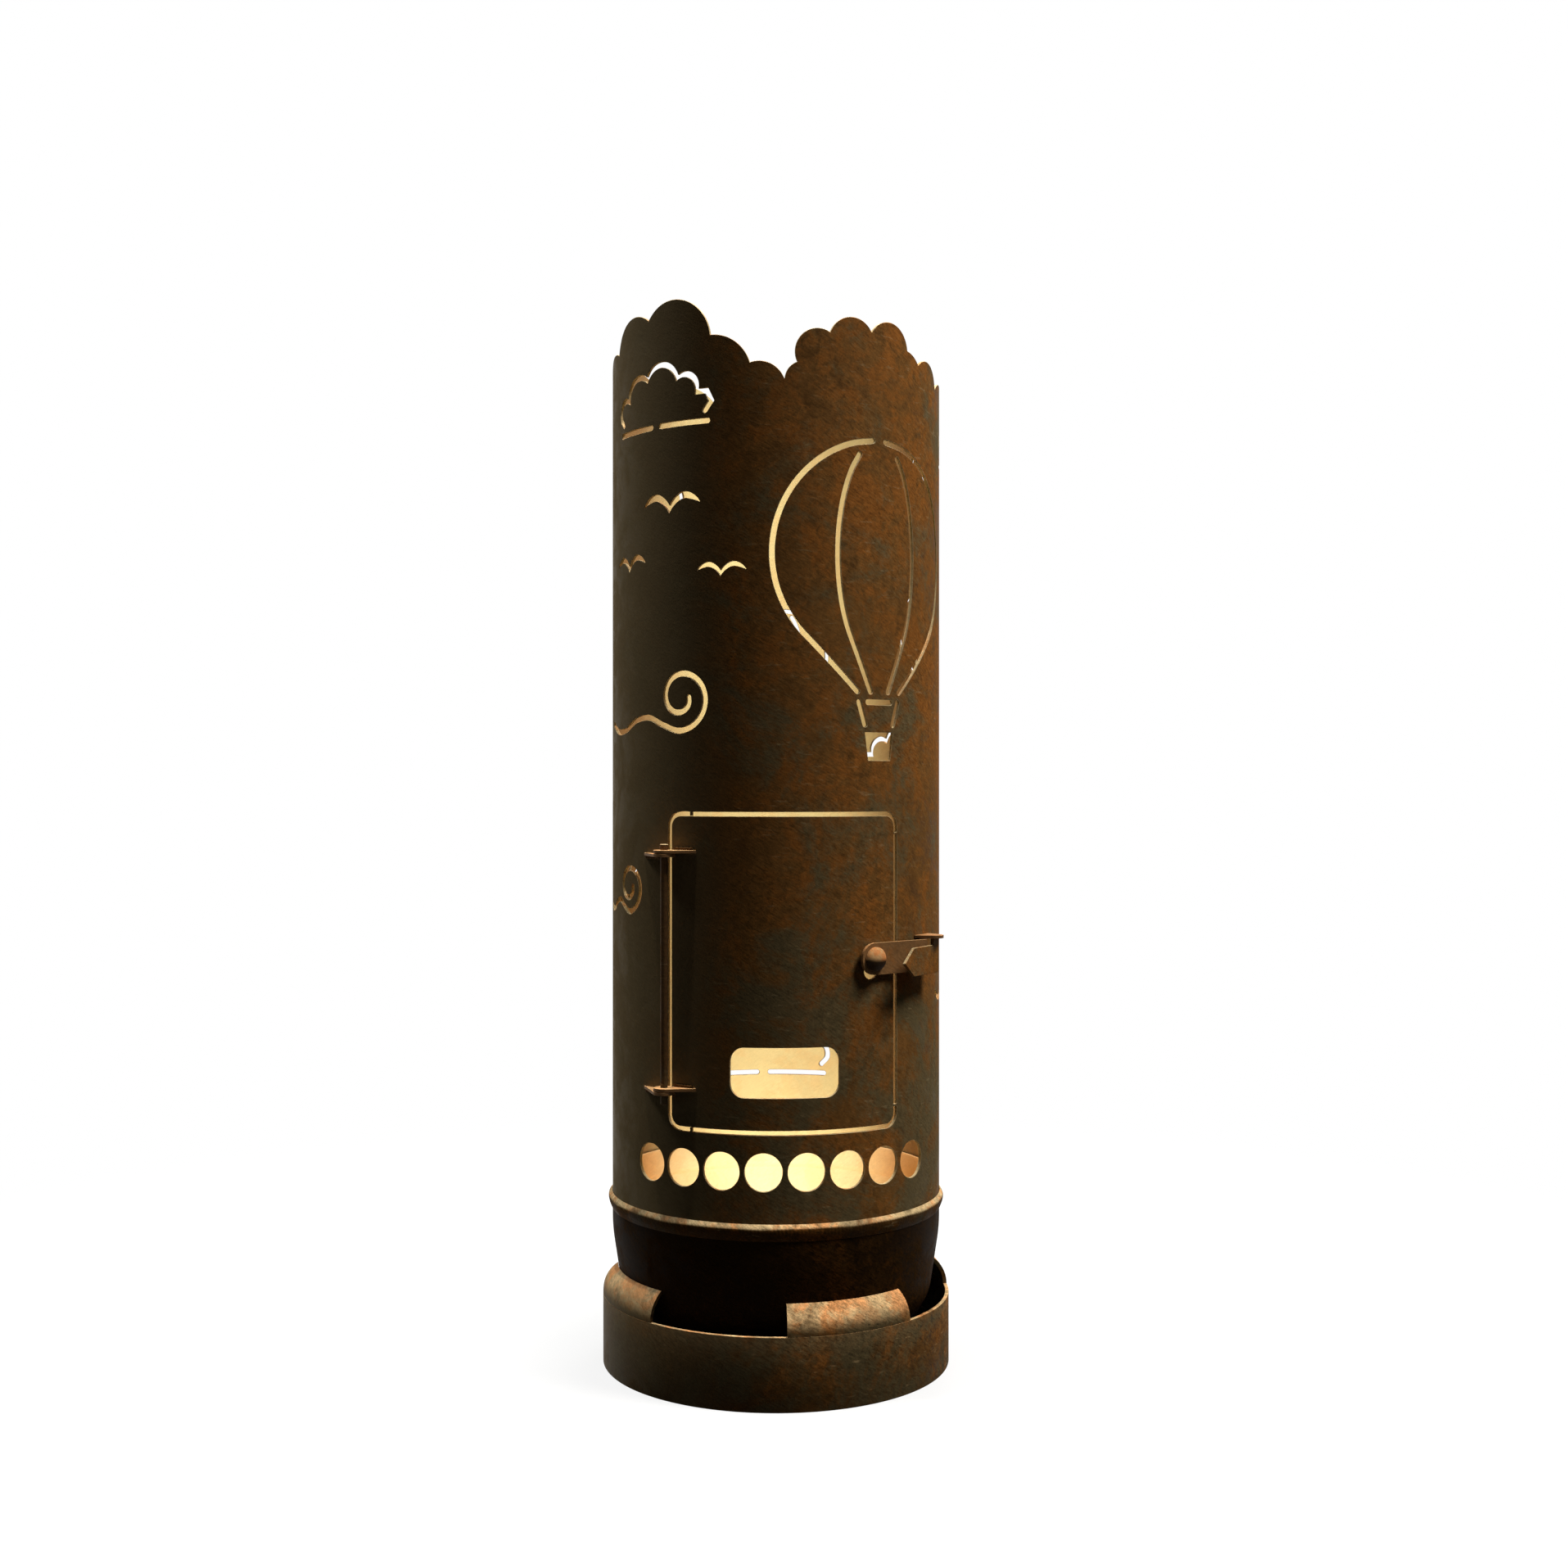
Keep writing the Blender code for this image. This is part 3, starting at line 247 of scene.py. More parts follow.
def cut_outlines(node):
    """The cut outlines of a rolled sheet, read off the outer face of its node and unrolled.

    Returns closed lines of (along, height); along runs on without a jump, so a line that goes
    right round ends one circumference away from its start.
    """
    edit = bmesh.new()
    edit.from_mesh(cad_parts[node].data)
    bmesh.ops.remove_doubles(edit, verts=edit.verts, dist=SAME_POINT)
    edit.normal_update()
    outwards = 0.665 * SHELL_RADIUS

    def is_outer(face):
        """Whether a face looks away from the axis."""
        middle = face.calc_center_median()
        return face.normal.x * middle.x + face.normal.y * middle.y > outwards

    outer = {face for face in edit.faces if is_outer(face)}
    following = {}
    for face in edit.faces:
        for loop in face.loops:
            if face in outer and loop.link_loop_radial_next.face not in outer:
                following[loop.vert.index] = loop.link_loop_next.vert.index
    place = np.array([v.co for v in edit.verts])
    edit.free()
    azimuth = np.arctan2(place[:, 0], -place[:, 1])
    lines = []
    while following:
        start, at = following.popitem()
        walk = [start]
        while at != start:
            walk.append(at)
            at = following.pop(at)
        turn = azimuth[walk + [start]]
        turn = turn[0] + np.concatenate([[0], np.cumsum(
            (np.diff(turn) + pi) % (2 * pi) - pi)])
        rounds = round((turn[-1] - turn[0]) / (2 * pi))
        lines.append((np.stack([turn[:-1] * SHELL_RADIUS, place[walk, 2]], 1),
                      rounds * SHELL_ROUND))
    return lines


def sides(line, shift):
    """The steps from each point of a closed line to the next."""
    side = np.roll(line, -1, axis=0) - line
    side[-1, 0] += shift
    return side


def faired(line, shift, corner=radians(50), even=2.2):
    """A closed polygon as a smooth line: cubic curves with the tangents of circles through
    three neighbours, broken at corners, and straight where one step is more than even times
    as long as the next.

    shift is how far the line's end lies from its start along the barrel.
    Returns the points and, for each, whether it is a corner.
    """
    step, longest = sizes().curve_step, sizes().straight_step

    def turning(side):
        before = np.roll(side, 1, axis=0)
        return np.arctan2(before[:, 0] * side[:, 1] - before[:, 1] * side[:, 0],
                          (before * side).sum(1))

    straight, bent_least = radians(0.6), 0.02
    for _ in range(3):
        keep = np.abs(turning(sides(line, shift))) > straight
        keep[0] |= bool(shift)
        line = line[keep]
    side = sides(line, shift)
    length = np.hypot(*side.T)
    unit = side / length[:, None]
    sharp = np.abs(turning(side)) > corner
    before, back = np.roll(unit, 1, axis=0), np.roll(length, 1)
    tangent = before * length[:, None] + unit * back[:, None]
    tangent = np.where((length > even * back)[:, None], unit, tangent)
    tangent = np.where((back > even * length)[:, None], before, tangent)
    tangent /= np.hypot(*tangent.T)[:, None]
    points, corners = [], []
    count = len(line)
    for i in range(count):
        k = (i + 1) % count
        u, l = unit[i], length[i]
        first, last = tangent[i], tangent[k]
        if sharp[i] and sharp[k]:
            first = last = u
        elif sharp[i]:
            first = 2 * u.dot(last) * u - last
        elif sharp[k]:
            last = 2 * u.dot(first) * u - first
        bent = abs(u[0] * first[1] - u[1] * first[0]) + abs(u[0] * last[1] - u[1] * last[0])
        steps = max(1, ceil(l / (step if bent > bent_least else longest)))
        t = (np.arange(steps) / steps)[:, None]
        end = line[i] + side[i]
        curve = ((1 + 2 * t) * (1 - t) ** 2 * line[i] + t * (1 - t) ** 2 * l * first
                 + t ** 2 * (3 - 2 * t) * end + t ** 2 * (t - 1) * l * last)
        points.append(curve)
        corners += [bool(sharp[i])] + [False] * (steps - 1)
    return np.concatenate(points), np.array(corners)


def inset(line, shift, width, bluntest=0.45):
    """The line moved to its left by this width, with mitred corners; the sheet lies there."""
    side = sides(line, shift)
    left = np.stack([-side[:, 1], side[:, 0]], 1) / np.hypot(*side.T)[:, None]
    before = np.roll(left, 1, axis=0)
    mitre = (left + before) / np.maximum(1 + (left * before).sum(1), bluntest)[:, None]
    return line + mitre * width, left, before


def area(line):
    """The area inside a closed line."""
    x, z = np.transpose(line)
    return 0.5 * abs((x * np.roll(z, -1) - np.roll(x, -1) * z).sum())


def rolled_sheet(name, node, closed):
    """The fine sheet: the flat pattern filled with triangles, with rounded cut edges, rolled
    round the barrel's axis. A point (s, z) at depth d goes to radius R - d, azimuth s / R.
    """
    width = sizes().edge_round
    seam = SEAM_AZIMUTH * SHELL_RADIUS
    start = seam - SHELL_ROUND
    lines = []
    for line, shift in cut_outlines(node):
        if shift:
            along = (line[:, 0] - start) % SHELL_ROUND + start
            line = np.stack([along, line[:, 1]], 1)
            first = int(np.argmin(np.minimum(along - start, seam - along)))
            line = np.roll(line, -first, axis=0)
            line[0, 0] = start if shift > 0 else seam
        elif closed:
            line[:, 0] += ((start - line[:, 0].mean()) // SHELL_ROUND + 1) * SHELL_ROUND
        points, corners = faired(line, shift)
        moved, left, before = inset(points, shift, width)
        if shift:
            moved[0, 0] = points[0, 0]
            points, moved = (np.concatenate([p, p[:1] + [shift, 0]]) for p in (points, moved))
            corners = np.append(corners, corners[0])
            left, before = np.concatenate([left, left[:1]]), np.concatenate([before, before[:1]])
        lines.append((points, moved, left, before, corners, shift))

    grid = sizes().sheet_grid
    row_step, room, end_room, batch = 1.5 * grid, 0.35 * grid, 0.3 * grid, 400
    everything = np.concatenate([moved for _, moved, *_ in lines])
    low, high = everything.min(0), everything.max(0)
    columns = np.linspace(low[0], high[0], round((high[0] - low[0]) / grid) + 1)
    rows = np.linspace(low[1], high[1], round((high[1] - low[1]) / row_step) + 1)
    inner = np.stack(np.meshgrid(columns[1:-1], rows[1:-1]), -1).reshape(-1, 2)
    clear = np.full(len(inner), np.inf)
    for part in np.array_split(everything, max(1, len(everything) // batch)):
        gap = np.hypot(inner[:, None, 0] - part[None, :, 0], inner[:, None, 1] - part[None, :, 1])
        clear = np.minimum(clear, gap.min(1))
    inner = inner[clear > room]

    points, rings, sheet_edge, holes = [], [], [], []
    for _, moved, _, _, _, shift in lines:
        ids = list(range(len(points), len(points) + len(moved)))
        points += moved.tolist()
        rings.append(ids)
        if shift:
            sheet_edge.append((shift, ids))
        else:
            holes.append(ids)
    if closed:
        (_, bottom), (_, rim) = sorted(sheet_edge, key=lambda pair: -pair[0])
        low_end, high_end = points[bottom[0]][1], points[rim[0]][1]
        levels = rows[(rows > low_end + end_room) & (rows < high_end - end_room)]
        rising = list(range(len(points), len(points) + len(levels)))
        points += [[seam, z] for z in levels]
        falling = list(range(len(points), len(points) + len(levels)))
        points += [[start, z] for z in levels[::-1]]
        outlines = [bottom + rising + rim + falling] + [ids[::-1] for ids in holes]
    else:
        edge, *cuts = sorted(holes, key=lambda ids: -area([points[i] for i in ids]))
        outlines = [edge] + [ids[::-1] for ids in cuts]
    points += inner.tolist()
    placed, _, faces, origins, _, regions = delaunay_2d_cdt(
        [Vector(p) for p in points], [], outlines, 1, SAME_POINT / 20, True)
    faces = [f for f, region in zip(faces, regions) if list(region) == [0]]
    flat = np.array([(p.x, p.y) for p in placed])
    now = {old: i for i, ids in enumerate(origins) for old in ids}
    rings = [[now[i] for i in ids] for ids in rings]
    return weld_sheet(name, flat, faces, rings, lines, (start, seam) if closed else None)


def weld_sheet(name, flat, faces, rings, lines, ends):
    """Both faces of the sheet, the walls of its cuts and their rounded edges, as one mesh.
    rings are the numbers of each line's points."""
    tri = np.array([f for f in faces if len(f) == 3])
    a, b, c = flat[tri[:, 0]], flat[tri[:, 1]], flat[tri[:, 2]]
    flip = np.cross(b - a, c - a) < 0
    tri[flip] = tri[flip][:, ::-1]
    index = np.arange(len(flat))
    if ends:
        start, seam = ends
        at_start = {round(z, 5): i for i, (s, z) in enumerate(flat)
                    if abs(s - start) < SAME_POINT / 2}
        for i, (s, z) in enumerate(flat):
            if abs(s - seam) < SAME_POINT / 2:
                index[i] = at_start.get(round(z, 5), i)
    width = sizes().edge_round
    count = len(flat)
    azimuth = flat[:, 0] / SHELL_RADIUS
    out = radial(azimuth)
    verts = [around(azimuth, r, flat[:, 1]) for r in (SHELL_RADIUS, SHELL_RADIUS - SHEET)]
    total = 2 * count
    faces_made = [index[tri], (index[tri] + count)[:, ::-1]]
    normals = [out[tri].reshape(-1, 3), -out[tri][:, ::-1].reshape(-1, 3)]
    materials = [np.zeros(len(tri), int), np.ones(len(tri), int)]
    for ring, (points, _, left, before, corners, shift) in zip(rings, lines):
        size, ring = len(points), index[ring]
        place = points[:, 0] / SHELL_RADIUS
        verts += [around(place, r, points[:, 1])
                  for r in (SHELL_RADIUS - width, SHELL_RADIUS - SHEET + width)]
        base = np.arange(size)
        if shift:
            base[-1] = 0
        near_id, far_id = total + base, total + size + base
        total += 2 * size
        here, there = np.arange(size), np.roll(np.arange(size), -1)
        if shift:
            here, there = here[:-1], there[:-1]
        tangent = np.stack([np.cos(place), np.sin(place), np.zeros(size)], 1)

        def wall_normal(side, at):
            return -(side[:, :1] * tangent[at] + side[:, 1:] * np.array([0, 0, 1.0]))

        smooth = (left + before) / np.hypot(*(left + before).T)[:, None]
        n_here = wall_normal(np.where(corners[here][:, None], left[here], smooth[here]), here)
        n_there = wall_normal(np.where(corners[there][:, None], before[there], smooth[there]),
                              there)
        r_here, r_there = radial(place[here]), radial(place[there])
        levels = [(ring, r_here, r_there), (near_id, n_here, n_there),
                  (far_id, n_here, n_there), (ring + count, -r_here, -r_there)]
        for (top, top_here, top_there), (low, low_here, low_there) in zip(levels, levels[1:]):
            quad = np.stack([top[here], low[here], low[there], top[there]], 1)
            faces_made.append(quad)
            normals.append(np.stack([top_here, low_here, low_there, top_there], 1).reshape(-1, 3))
            materials.append(np.full(len(quad), 2))
    used = np.unique(np.concatenate([part.ravel() for part in faces_made]))
    rank = np.zeros(total, int)
    rank[used] = np.arange(len(used))
    piece = new_mesh(name, np.concatenate(verts)[used],
                     [face for part in faces_made for face in rank[part].tolist()],
                     np.concatenate(normals))
    piece.data.polygons.foreach_set("material_index", np.concatenate(materials))
    return piece


# Turned pieces and welds


def quads(count, across, closed=True):
    """The faces of a grid of points, count rows of across points each. Each row is closed, and
    so is the way from row to row, unless closed is false."""
    i, j = np.meshgrid(np.arange(count if closed else count - 1), np.arange(across),
                       indexing="ij")
    ahead, beside = (i + 1) % count * across, (j + 1) % across
    i = i * across
    return np.stack([i + j, ahead + j, ahead + beside, i + beside], -1).reshape(-1, 4).tolist()


def carried(name, profile, azimuth, closed=True, middle=(0, 0), caps=()):
    """A closed profile of (radius, z) carried round a vertical axis: each profile point (r, z)
    goes to (r sin a, -r cos a, z) for every azimuth a."""
    points = around(azimuth[:, None], profile[:, 0], profile[:, 1])
    points[..., :2] += middle
    faces = quads(len(azimuth), len(profile), closed) + list(caps)
    return tidy(new_mesh(name, points.reshape(-1, 3), faces))


def turned(name, profile, steps, middle=(0, 0)):
    """A closed profile carried right round."""
    return carried(name, profile, np.arange(steps) * 2 * pi / steps, middle=middle)


def tidy(piece, sharp=SHARP):
    """Merges poles and seams, points the faces outwards and keeps edges over the angle sharp."""
    edit = bmesh.new()
    edit.from_mesh(piece.data)
    bmesh.ops.remove_doubles(edit, verts=edit.verts, dist=SAME_POINT / 2)
    bmesh.ops.dissolve_degenerate(edit, edges=edit.edges, dist=SAME_POINT / 20)
    bmesh.ops.recalc_face_normals(edit, faces=edit.faces)
    edit.to_mesh(piece.data)
    edit.free()
    return smoothed(piece, sharp)


def smoothed(piece, sharp=SHARP):
    """Shades a piece smooth, apart from its edges over this angle."""
    piece.data.shade_smooth()
    piece.data.set_sharp_from_angle(angle=sharp)
    return piece


def arc(centre, radius, start, end, segments):
    """Points on an arc between two angles, both ends included."""
    a = np.linspace(start, end, segments + 1)
    return np.stack([centre[0] + radius * np.cos(a), centre[1] + radius * np.sin(a)], 1)


def joined(name, pieces):
    """One mesh object from several."""
    edit = bmesh.new()
    for piece in pieces:
        edit.from_mesh(piece.data)
        bpy.data.objects.remove(piece)
    mesh = bpy.data.meshes.new(name)
    edit.to_mesh(mesh)
    edit.free()
    return smoothed(new_object(name, mesh))


def bead(name, path, radius, sides=14, step=0.0005):
    """A weld bead: circles of radius r (1 + ripple) carried along a path, each circle's reach
    rising and falling with the distance along it, and closed by rounded ends."""
    length = np.concatenate([[0], np.cumsum(np.linalg.norm(np.diff(path, axis=0), axis=1))])
    count = max(8, int(length[-1] / step))
    at = np.linspace(0, length[-1], count)
    line = np.stack([np.interp(at, length, path[:, k]) for k in range(3)], 1)
    along = np.gradient(line, axis=0)
    along /= np.linalg.norm(along, axis=1)[:, None]
    across = np.cross(along, [0, 0, 1.0])
    across /= np.linalg.norm(across, axis=1)[:, None]
    up = np.cross(across, along)
    phase = at / sizes().ripple_pitch
    ripple = sizes().ripple_height * (1 - 2 * np.abs(phase % 1 - 0.5)) * 2
    hidden = np.clip(1 - np.minimum(at, length[-1] - at) / radius, 0, 1)
    cap = np.sqrt(1 - hidden ** 2)
    reach = (radius - sizes().ripple_height + ripple) * np.maximum(cap, 1e-4)
    turn = np.arange(sides) * 2 * pi / sides
    ring = (across[:, None, :] * np.cos(turn)[None, :, None]
            + up[:, None, :] * np.sin(turn)[None, :, None])
    points = line[:, None, :] + ring * reach[:, None, None]
    ends = [list(range(sides)), list(range((count - 1) * sides, count * sides))]
    return tidy(new_mesh(name, points.reshape(-1, 3), quads(count, sides, False) + ends),
                SHARP_WELD)


def softened(node):
    """A copy of a node's mesh with its corners rounded."""
    edit = bmesh.new()
    edit.from_mesh(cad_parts[node].data)
    bmesh.ops.remove_doubles(edit, verts=edit.verts, dist=SAME_POINT)
    bmesh.ops.dissolve_limit(edit, angle_limit=radians(1), verts=edit.verts,
                             edges=edit.edges)
    mesh = bpy.data.meshes.new(node + "_fine")
    edit.to_mesh(mesh)
    edit.free()
    piece = new_object(node + "_fine", mesh)
    soft = piece.modifiers.new("edges", "BEVEL")
    soft.width = sizes().plate_round
    soft.segments = 3
    soft.limit_method = "ANGLE"
    soft.angle_limit = SHARP_PLATE
    soft.harden_normals = True
    return smoothed(piece, SHARP_PLATE)


# Finishes


class Wiring:
    """Adds nodes to a tree. Inputs are given by name or number, and each takes a number, a
    colour or the output of another node."""

    def __init__(self, tree):
        self.tree = tree

    def feed(self, node, inputs):
        """Sets or links the inputs of a node."""
        for key, value in inputs.items():
            if isinstance(value, bpy.types.NodeSocket):
                self.tree.links.new(value, node.inputs[key])
            else:
                node.inputs[key].default_value = value

    def node(self, kind, inputs, output=0, **settings):
        """A new node's output, or where output is None all its outputs."""
        made = self.tree.nodes.new("ShaderNode" + kind)
        column, row = divmod(len(self.tree.nodes), 8)
        made.location = (220 * column, -260 * row)
        for key, value in settings.items():
            setattr(made, key, value)
        self.feed(made, inputs)
        return made.outputs if output is None else made.outputs[output]

    def noise(self, source, scale, detail, rough, distortion=0.0):
        """Noise from 0 to 1."""
        return self.node("TexNoise", {"Vector": source, "Scale": scale, "Detail": detail,
                                      "Roughness": rough, "Distortion": distortion}, "Fac")

    def ramp(self, source, low, high, start=0.0, end=1.0, shape="SMOOTHSTEP"):
        """From start to end, while the source goes from low to high."""
        return self.node("MapRange", {"Value": source, "From Min": low, "From Max": high,
                                      "To Min": start, "To Max": end},
                         "Result", interpolation_type=shape)

    def maths(self, kind, *values):
        """A sum, product or other result of numbers."""
        return self.node("Math", dict(enumerate(values)), operation=kind)

    def times(self, *values):
        """Two numbers multiplied."""
        return self.maths("MULTIPLY", *values)

    def vector(self, kind, *values):
        """A sum, product or other result of vectors."""
        return self.node("VectorMath", dict(enumerate(values)), operation=kind)

    def blend(self, *pairs):
        """Sum of sources, each times its weight."""
        total = None
        for source, weight in pairs:
            part = self.times(source, weight)
            total = self.maths("ADD", total, part) if total else part
        return total

    def mix(self, factor, first, second):
        """The first colour, and by this factor the second."""
        return self.node("Mix", {0: factor, 6: first, 7: second}, 2, data_type="RGBA")


def weathering_group():
    """Rusted steel: brown rust over dark scale, red bloom, grey-green patches, pale flecks and
    dust, from noises on the object's own coordinates. Its strokes run round the barrel and
    fall to the right: a noise on (k x, k y, n (z + slant R atan2(x, -y))). Weather makes one
    side of the barrel redder and leaves the other side smooth and grey, up to a ragged edge;
    that grey is partly weathering and partly a painted sheen. Dust is how much of the dust
    colour lies at a point, partly real dust and partly painted light: top light on faces that
    look up, and light on the inner front and back. Cover is how evenly it lies."""
    name = "weathered_steel"
    if name in bpy.data.node_groups:
        return bpy.data.node_groups[name]
    tree = bpy.data.node_groups.new(name, "ShaderNodeTree")
    for way, kind, labels in (("INPUT", "Color", TONES),
                              ("INPUT", "Float", (*SHARES, "Dust And Painted Light", "Weather And Sheen", "Cover")),
                              ("OUTPUT", "Color", ("Colour",)),
                              ("OUTPUT", "Float", ("Roughness", "Height"))):
        for label in labels:
            tree.interface.new_socket(label, in_out=way, socket_type="NodeSocket" + kind)
    share = tree.nodes.new("NodeGroupInput").outputs
    wires = Wiring(tree)
    noise, ramp, maths, times, blend, mix = (wires.noise, wires.ramp, wires.maths, wires.times,
                                             wires.blend, wires.mix)
    here = wires.node("TexCoord", {}, "Object")
    x, y, z = wires.node("SeparateXYZ", {0: here}, None)
    along = times(maths("ARCTAN2", x, times(y, -1.0)), SHELL_RADIUS)

    def shifted(*by):
        return wires.vector("ADD", here, by)

    def streak(across, stretch, slant):
        return wires.node("CombineXYZ", {
            0: times(x, across), 1: times(y, across),
            2: blend((z, stretch), (along, stretch * slant))})

    def side(degrees):
        """The share of the radius that a point lies towards an azimuth."""
        sine, cosine = (float(c) / SHELL_RADIUS for c in radial(radians(degrees))[:2])
        return blend((x, sine), (y, cosine))

    # noises, from the widest to the finest
    clouds = noise(here, 9.0, 3, 0.5, 0.3)
    green = noise(shifted(7.3, 1.9, 4.1), 12.0, 7, 0.66, 0.6)
    patches = noise(here, 24.0, 8, 0.66, 0.6)
    spots = noise(shifted(3.1, 5.7, 1.3), 30.0, 8, 0.70, 0.8)
    mottle = noise(shifted(2.3, 8.1, 5.2), 110.0, 4, 0.6, 1.0)
    marks = noise(streak(0.5, 2.6, 0.05), 120.0, 3, 0.5, 0.2)
    strokes = noise(streak(0.35, 1.0, 0.55), 520.0, 2, 0.5, 0.6)
    speck = noise(shifted(1.7, 2.9, 6.1), 800.0, 2, 0.6)

    # how much of each tone shows
    weather = times(side(55), share["Weather And Sheen"])
    low = times(ramp(z, 0.55, 0.20), share["Weather And Sheen"])
    # painted sheen, partly weathering: the side towards azimuth -75 turns smooth and grey, up to
    # a ragged edge
    sheltered_and_sheen = times(ramp(side(-75), 0.50, 0.80, 0.0, 0.9),
                      ramp(blend((side(-20), 1.0), (patches, 1.1)), 0.10, 0.70))
    lee_and_sheen = times(sheltered_and_sheen, share["Weather And Sheen"])
    rust = ramp(blend((clouds, 0.30), (patches, 0.50), (mottle, 0.20), (share["Rust"], 0.3),
                      (weather, 0.03)), 0.54, 0.74)
    fresh = blend((spots, 0.6), (clouds, 0.2), (mottle, 0.2), (weather, 0.05),
                  (share["Bloom"], 0.3))
    moss = ramp(blend((green, 0.85), (strokes, 0.15), (share["Patina"], 0.3), (low, 0.085)),
                0.60, 0.74, 0.0, 0.9)
    pale = times(ramp(marks, 0.62, 0.72, 0.0, 0.5), rust)
    dust_and_top_light = share["Dust Colour"]
    colour = share["Scale Colour"]
    for factor, tone in ((rust, share["Rust Colour"]),
                         (times(rust, ramp(fresh, 0.61, 0.73)), share["Bloom Colour"]),
                         (moss, share["Patina Colour"]), (times(pale, 0.4), dust_and_top_light),
                         (lee_and_sheen, share["Lee And Sheen Colour"])):
        colour = mix(factor, colour, tone)

    # dust and painted top light, brown and grey in places where its cover is thin
    bare = maths("SUBTRACT", 1.0, share["Cover"])
    dust_and_top_light_colour = dust_and_top_light
    for where, most, steep, tint in (
            (ramp(spots, 0.45, 0.58), 1.0, 2.5, (1.05, 0.72, 0.55)),
            (ramp(green, 0.48, 0.62), 0.55, 1.5, (0.55, 0.60, 0.62))):
        factor = times(where, maths("MINIMUM", most, times(bare, steep)))
        dust_and_top_light_colour = mix(factor, dust_and_top_light_colour, wires.vector("MULTIPLY", dust_and_top_light, tint))
    cover = maths("ADD", share["Cover"], times(bare, ramp(patches, 0.30, 0.50)))
    colour = mix(times(share["Dust And Painted Light"], cover), colour, dust_and_top_light_colour)

    # grain, light and dark
    relief = blend((strokes, 2.2), (speck, 1.4), (mottle, 1.2))
    busy = times(share["Grain"], ramp(clouds, 0.35, 0.65, 0.7, 1.3))
    # less grain under the painted sheen
    amount = times(busy, maths("SUBTRACT", 1.0, times(lee_and_sheen, 0.8)))
    shade = maths("ADD", times(maths("SUBTRACT", relief, 2.4), amount), 1.0)
    shade = maths("MINIMUM", maths("MAXIMUM", shade, 0.3), 2.0)
    wires.feed(tree.nodes.new("NodeGroupOutput"), {
        "Colour": wires.node("VectorMath", {0: colour, "Scale": shade}, operation="SCALE"),
        "Roughness": ramp(rust, 0.0, 1.0, 0.52, 0.76),
        "Height": blend((strokes, 0.5), (speck, 0.3), (rust, 0.5), (pale, 0.3))})
    return tree


def where_dust_and_light_lie(wires, kind, low, high):
    """Where dust and painted light lie: 'top', by the height of the object's own normal, which
    makes faces that look up pale as painted top light, partly real dust; or 'ends', by how near
    a point lies to the front or the back, which paints the inner front and back lighter; from
    none to all between low and high."""
    if kind == "top":
        source = wires.node("SeparateXYZ", {0: wires.node("TexCoord", {}, "Normal")}, 2)
    else:
        across = wires.node("SeparateXYZ", {0: wires.node("TexCoord", {}, "Object")}, 1)
        source = wires.maths("ABSOLUTE", across)
    return wires.ramp(source, low, high)


def steel(name, tones, shares, lies=("top", 0.15, 0.8), weather=0.0, cover=0.6, specular=0.03,
          relief=0.00015):
    """A rusted steel material. Its tones are scale, rust, bloom, patina and dust, its shares
    are rust, bloom, patina and grain, and cover is how evenly the dust lies. The dust, laid
    where lies says, is partly real dust and partly painted light."""
    material = bpy.data.materials.new(name)
    material.use_nodes = True
    wires = Wiring(material.node_tree)
    values = {label: (*tone, 1.0) for label, tone in zip(TONES, (*tones, colours().lee_and_sheen))}
    values.update(zip(SHARES, shares))
    values.update({"Weather And Sheen": weather, "Cover": cover, "Dust And Painted Light": where_dust_and_light_lie(wires, *lies)})
    look = wires.node("Group", values, None, node_tree=weathering_group())
    bump = wires.node("Bump", {"Strength": 1.0, "Distance": relief, "Height": look["Height"]})
    wires.feed(material.node_tree.nodes["Principled BSDF"], {
        "Base Color": look["Colour"], "Roughness": look["Roughness"], "Normal": bump,
        "Specular IOR Level": specular})
    return material


def scaled(colour, share):
    """A colour made darker or lighter."""
    return tuple(min(1.0, c * share) for c in colour)


def mixed(first, share, second, other):
    """The sum of two colours, each times its share."""
    return tuple(share * a + other * b for a, b in zip(first, second))


def inside_finish(name, pale, brown):
    """Ash on the inner walls, thick and pale at front and back, thin and brown at the sides:
    painted light, the ends lighter and the sides in painted shade, as the glow falls on them;
    pale and brown set how light the ends and the sides are.
    """
    c = colours()
    ash = [channel * pale ** power for channel, power in zip(c.ash, (1, 1.5, 3))]
    base = scaled(c.tan, 0.9 * brown)
    # brown sets how deep the painted shade of the inner sides is
    return steel(name, (scaled(c.tan, 0.85 * brown), scaled(c.tan, brown), base, base, ash),
                 (0.5, 0.25, 0.3, 0.10), lies=("ends", 0.075, 0.150), cover=0.9)


def wall_finish():
    """Outside, inside and cut edges of the rolled sheets, shared so that the door matches."""
    names = ("wall_outside", "wall_inside", "wall_edge")
    if names[0] in bpy.data.materials:
        return [bpy.data.materials[name] for name in names]
    c = colours()
    # pale of the cut edges and of the dust on the walls, partly painted top light
    pale_cut_and_top_light = scaled(c.dust_and_top_light, 0.8)
    return [steel(names[0], (c.scale, c.rust, c.bloom, c.patina, pale_cut_and_top_light),
                  (0.55, 0.40, 0.36, 0.55), weather=1.0),
            inside_finish(names[1], 1.0, 0.5),
            steel(names[2], (scaled(pale_cut_and_top_light, 0.8), pale_cut_and_top_light, c.tan, scaled(pale_cut_and_top_light, 0.7), c.dust_and_top_light),
                  (0.5, 0.3, 0.3, 0.4))]


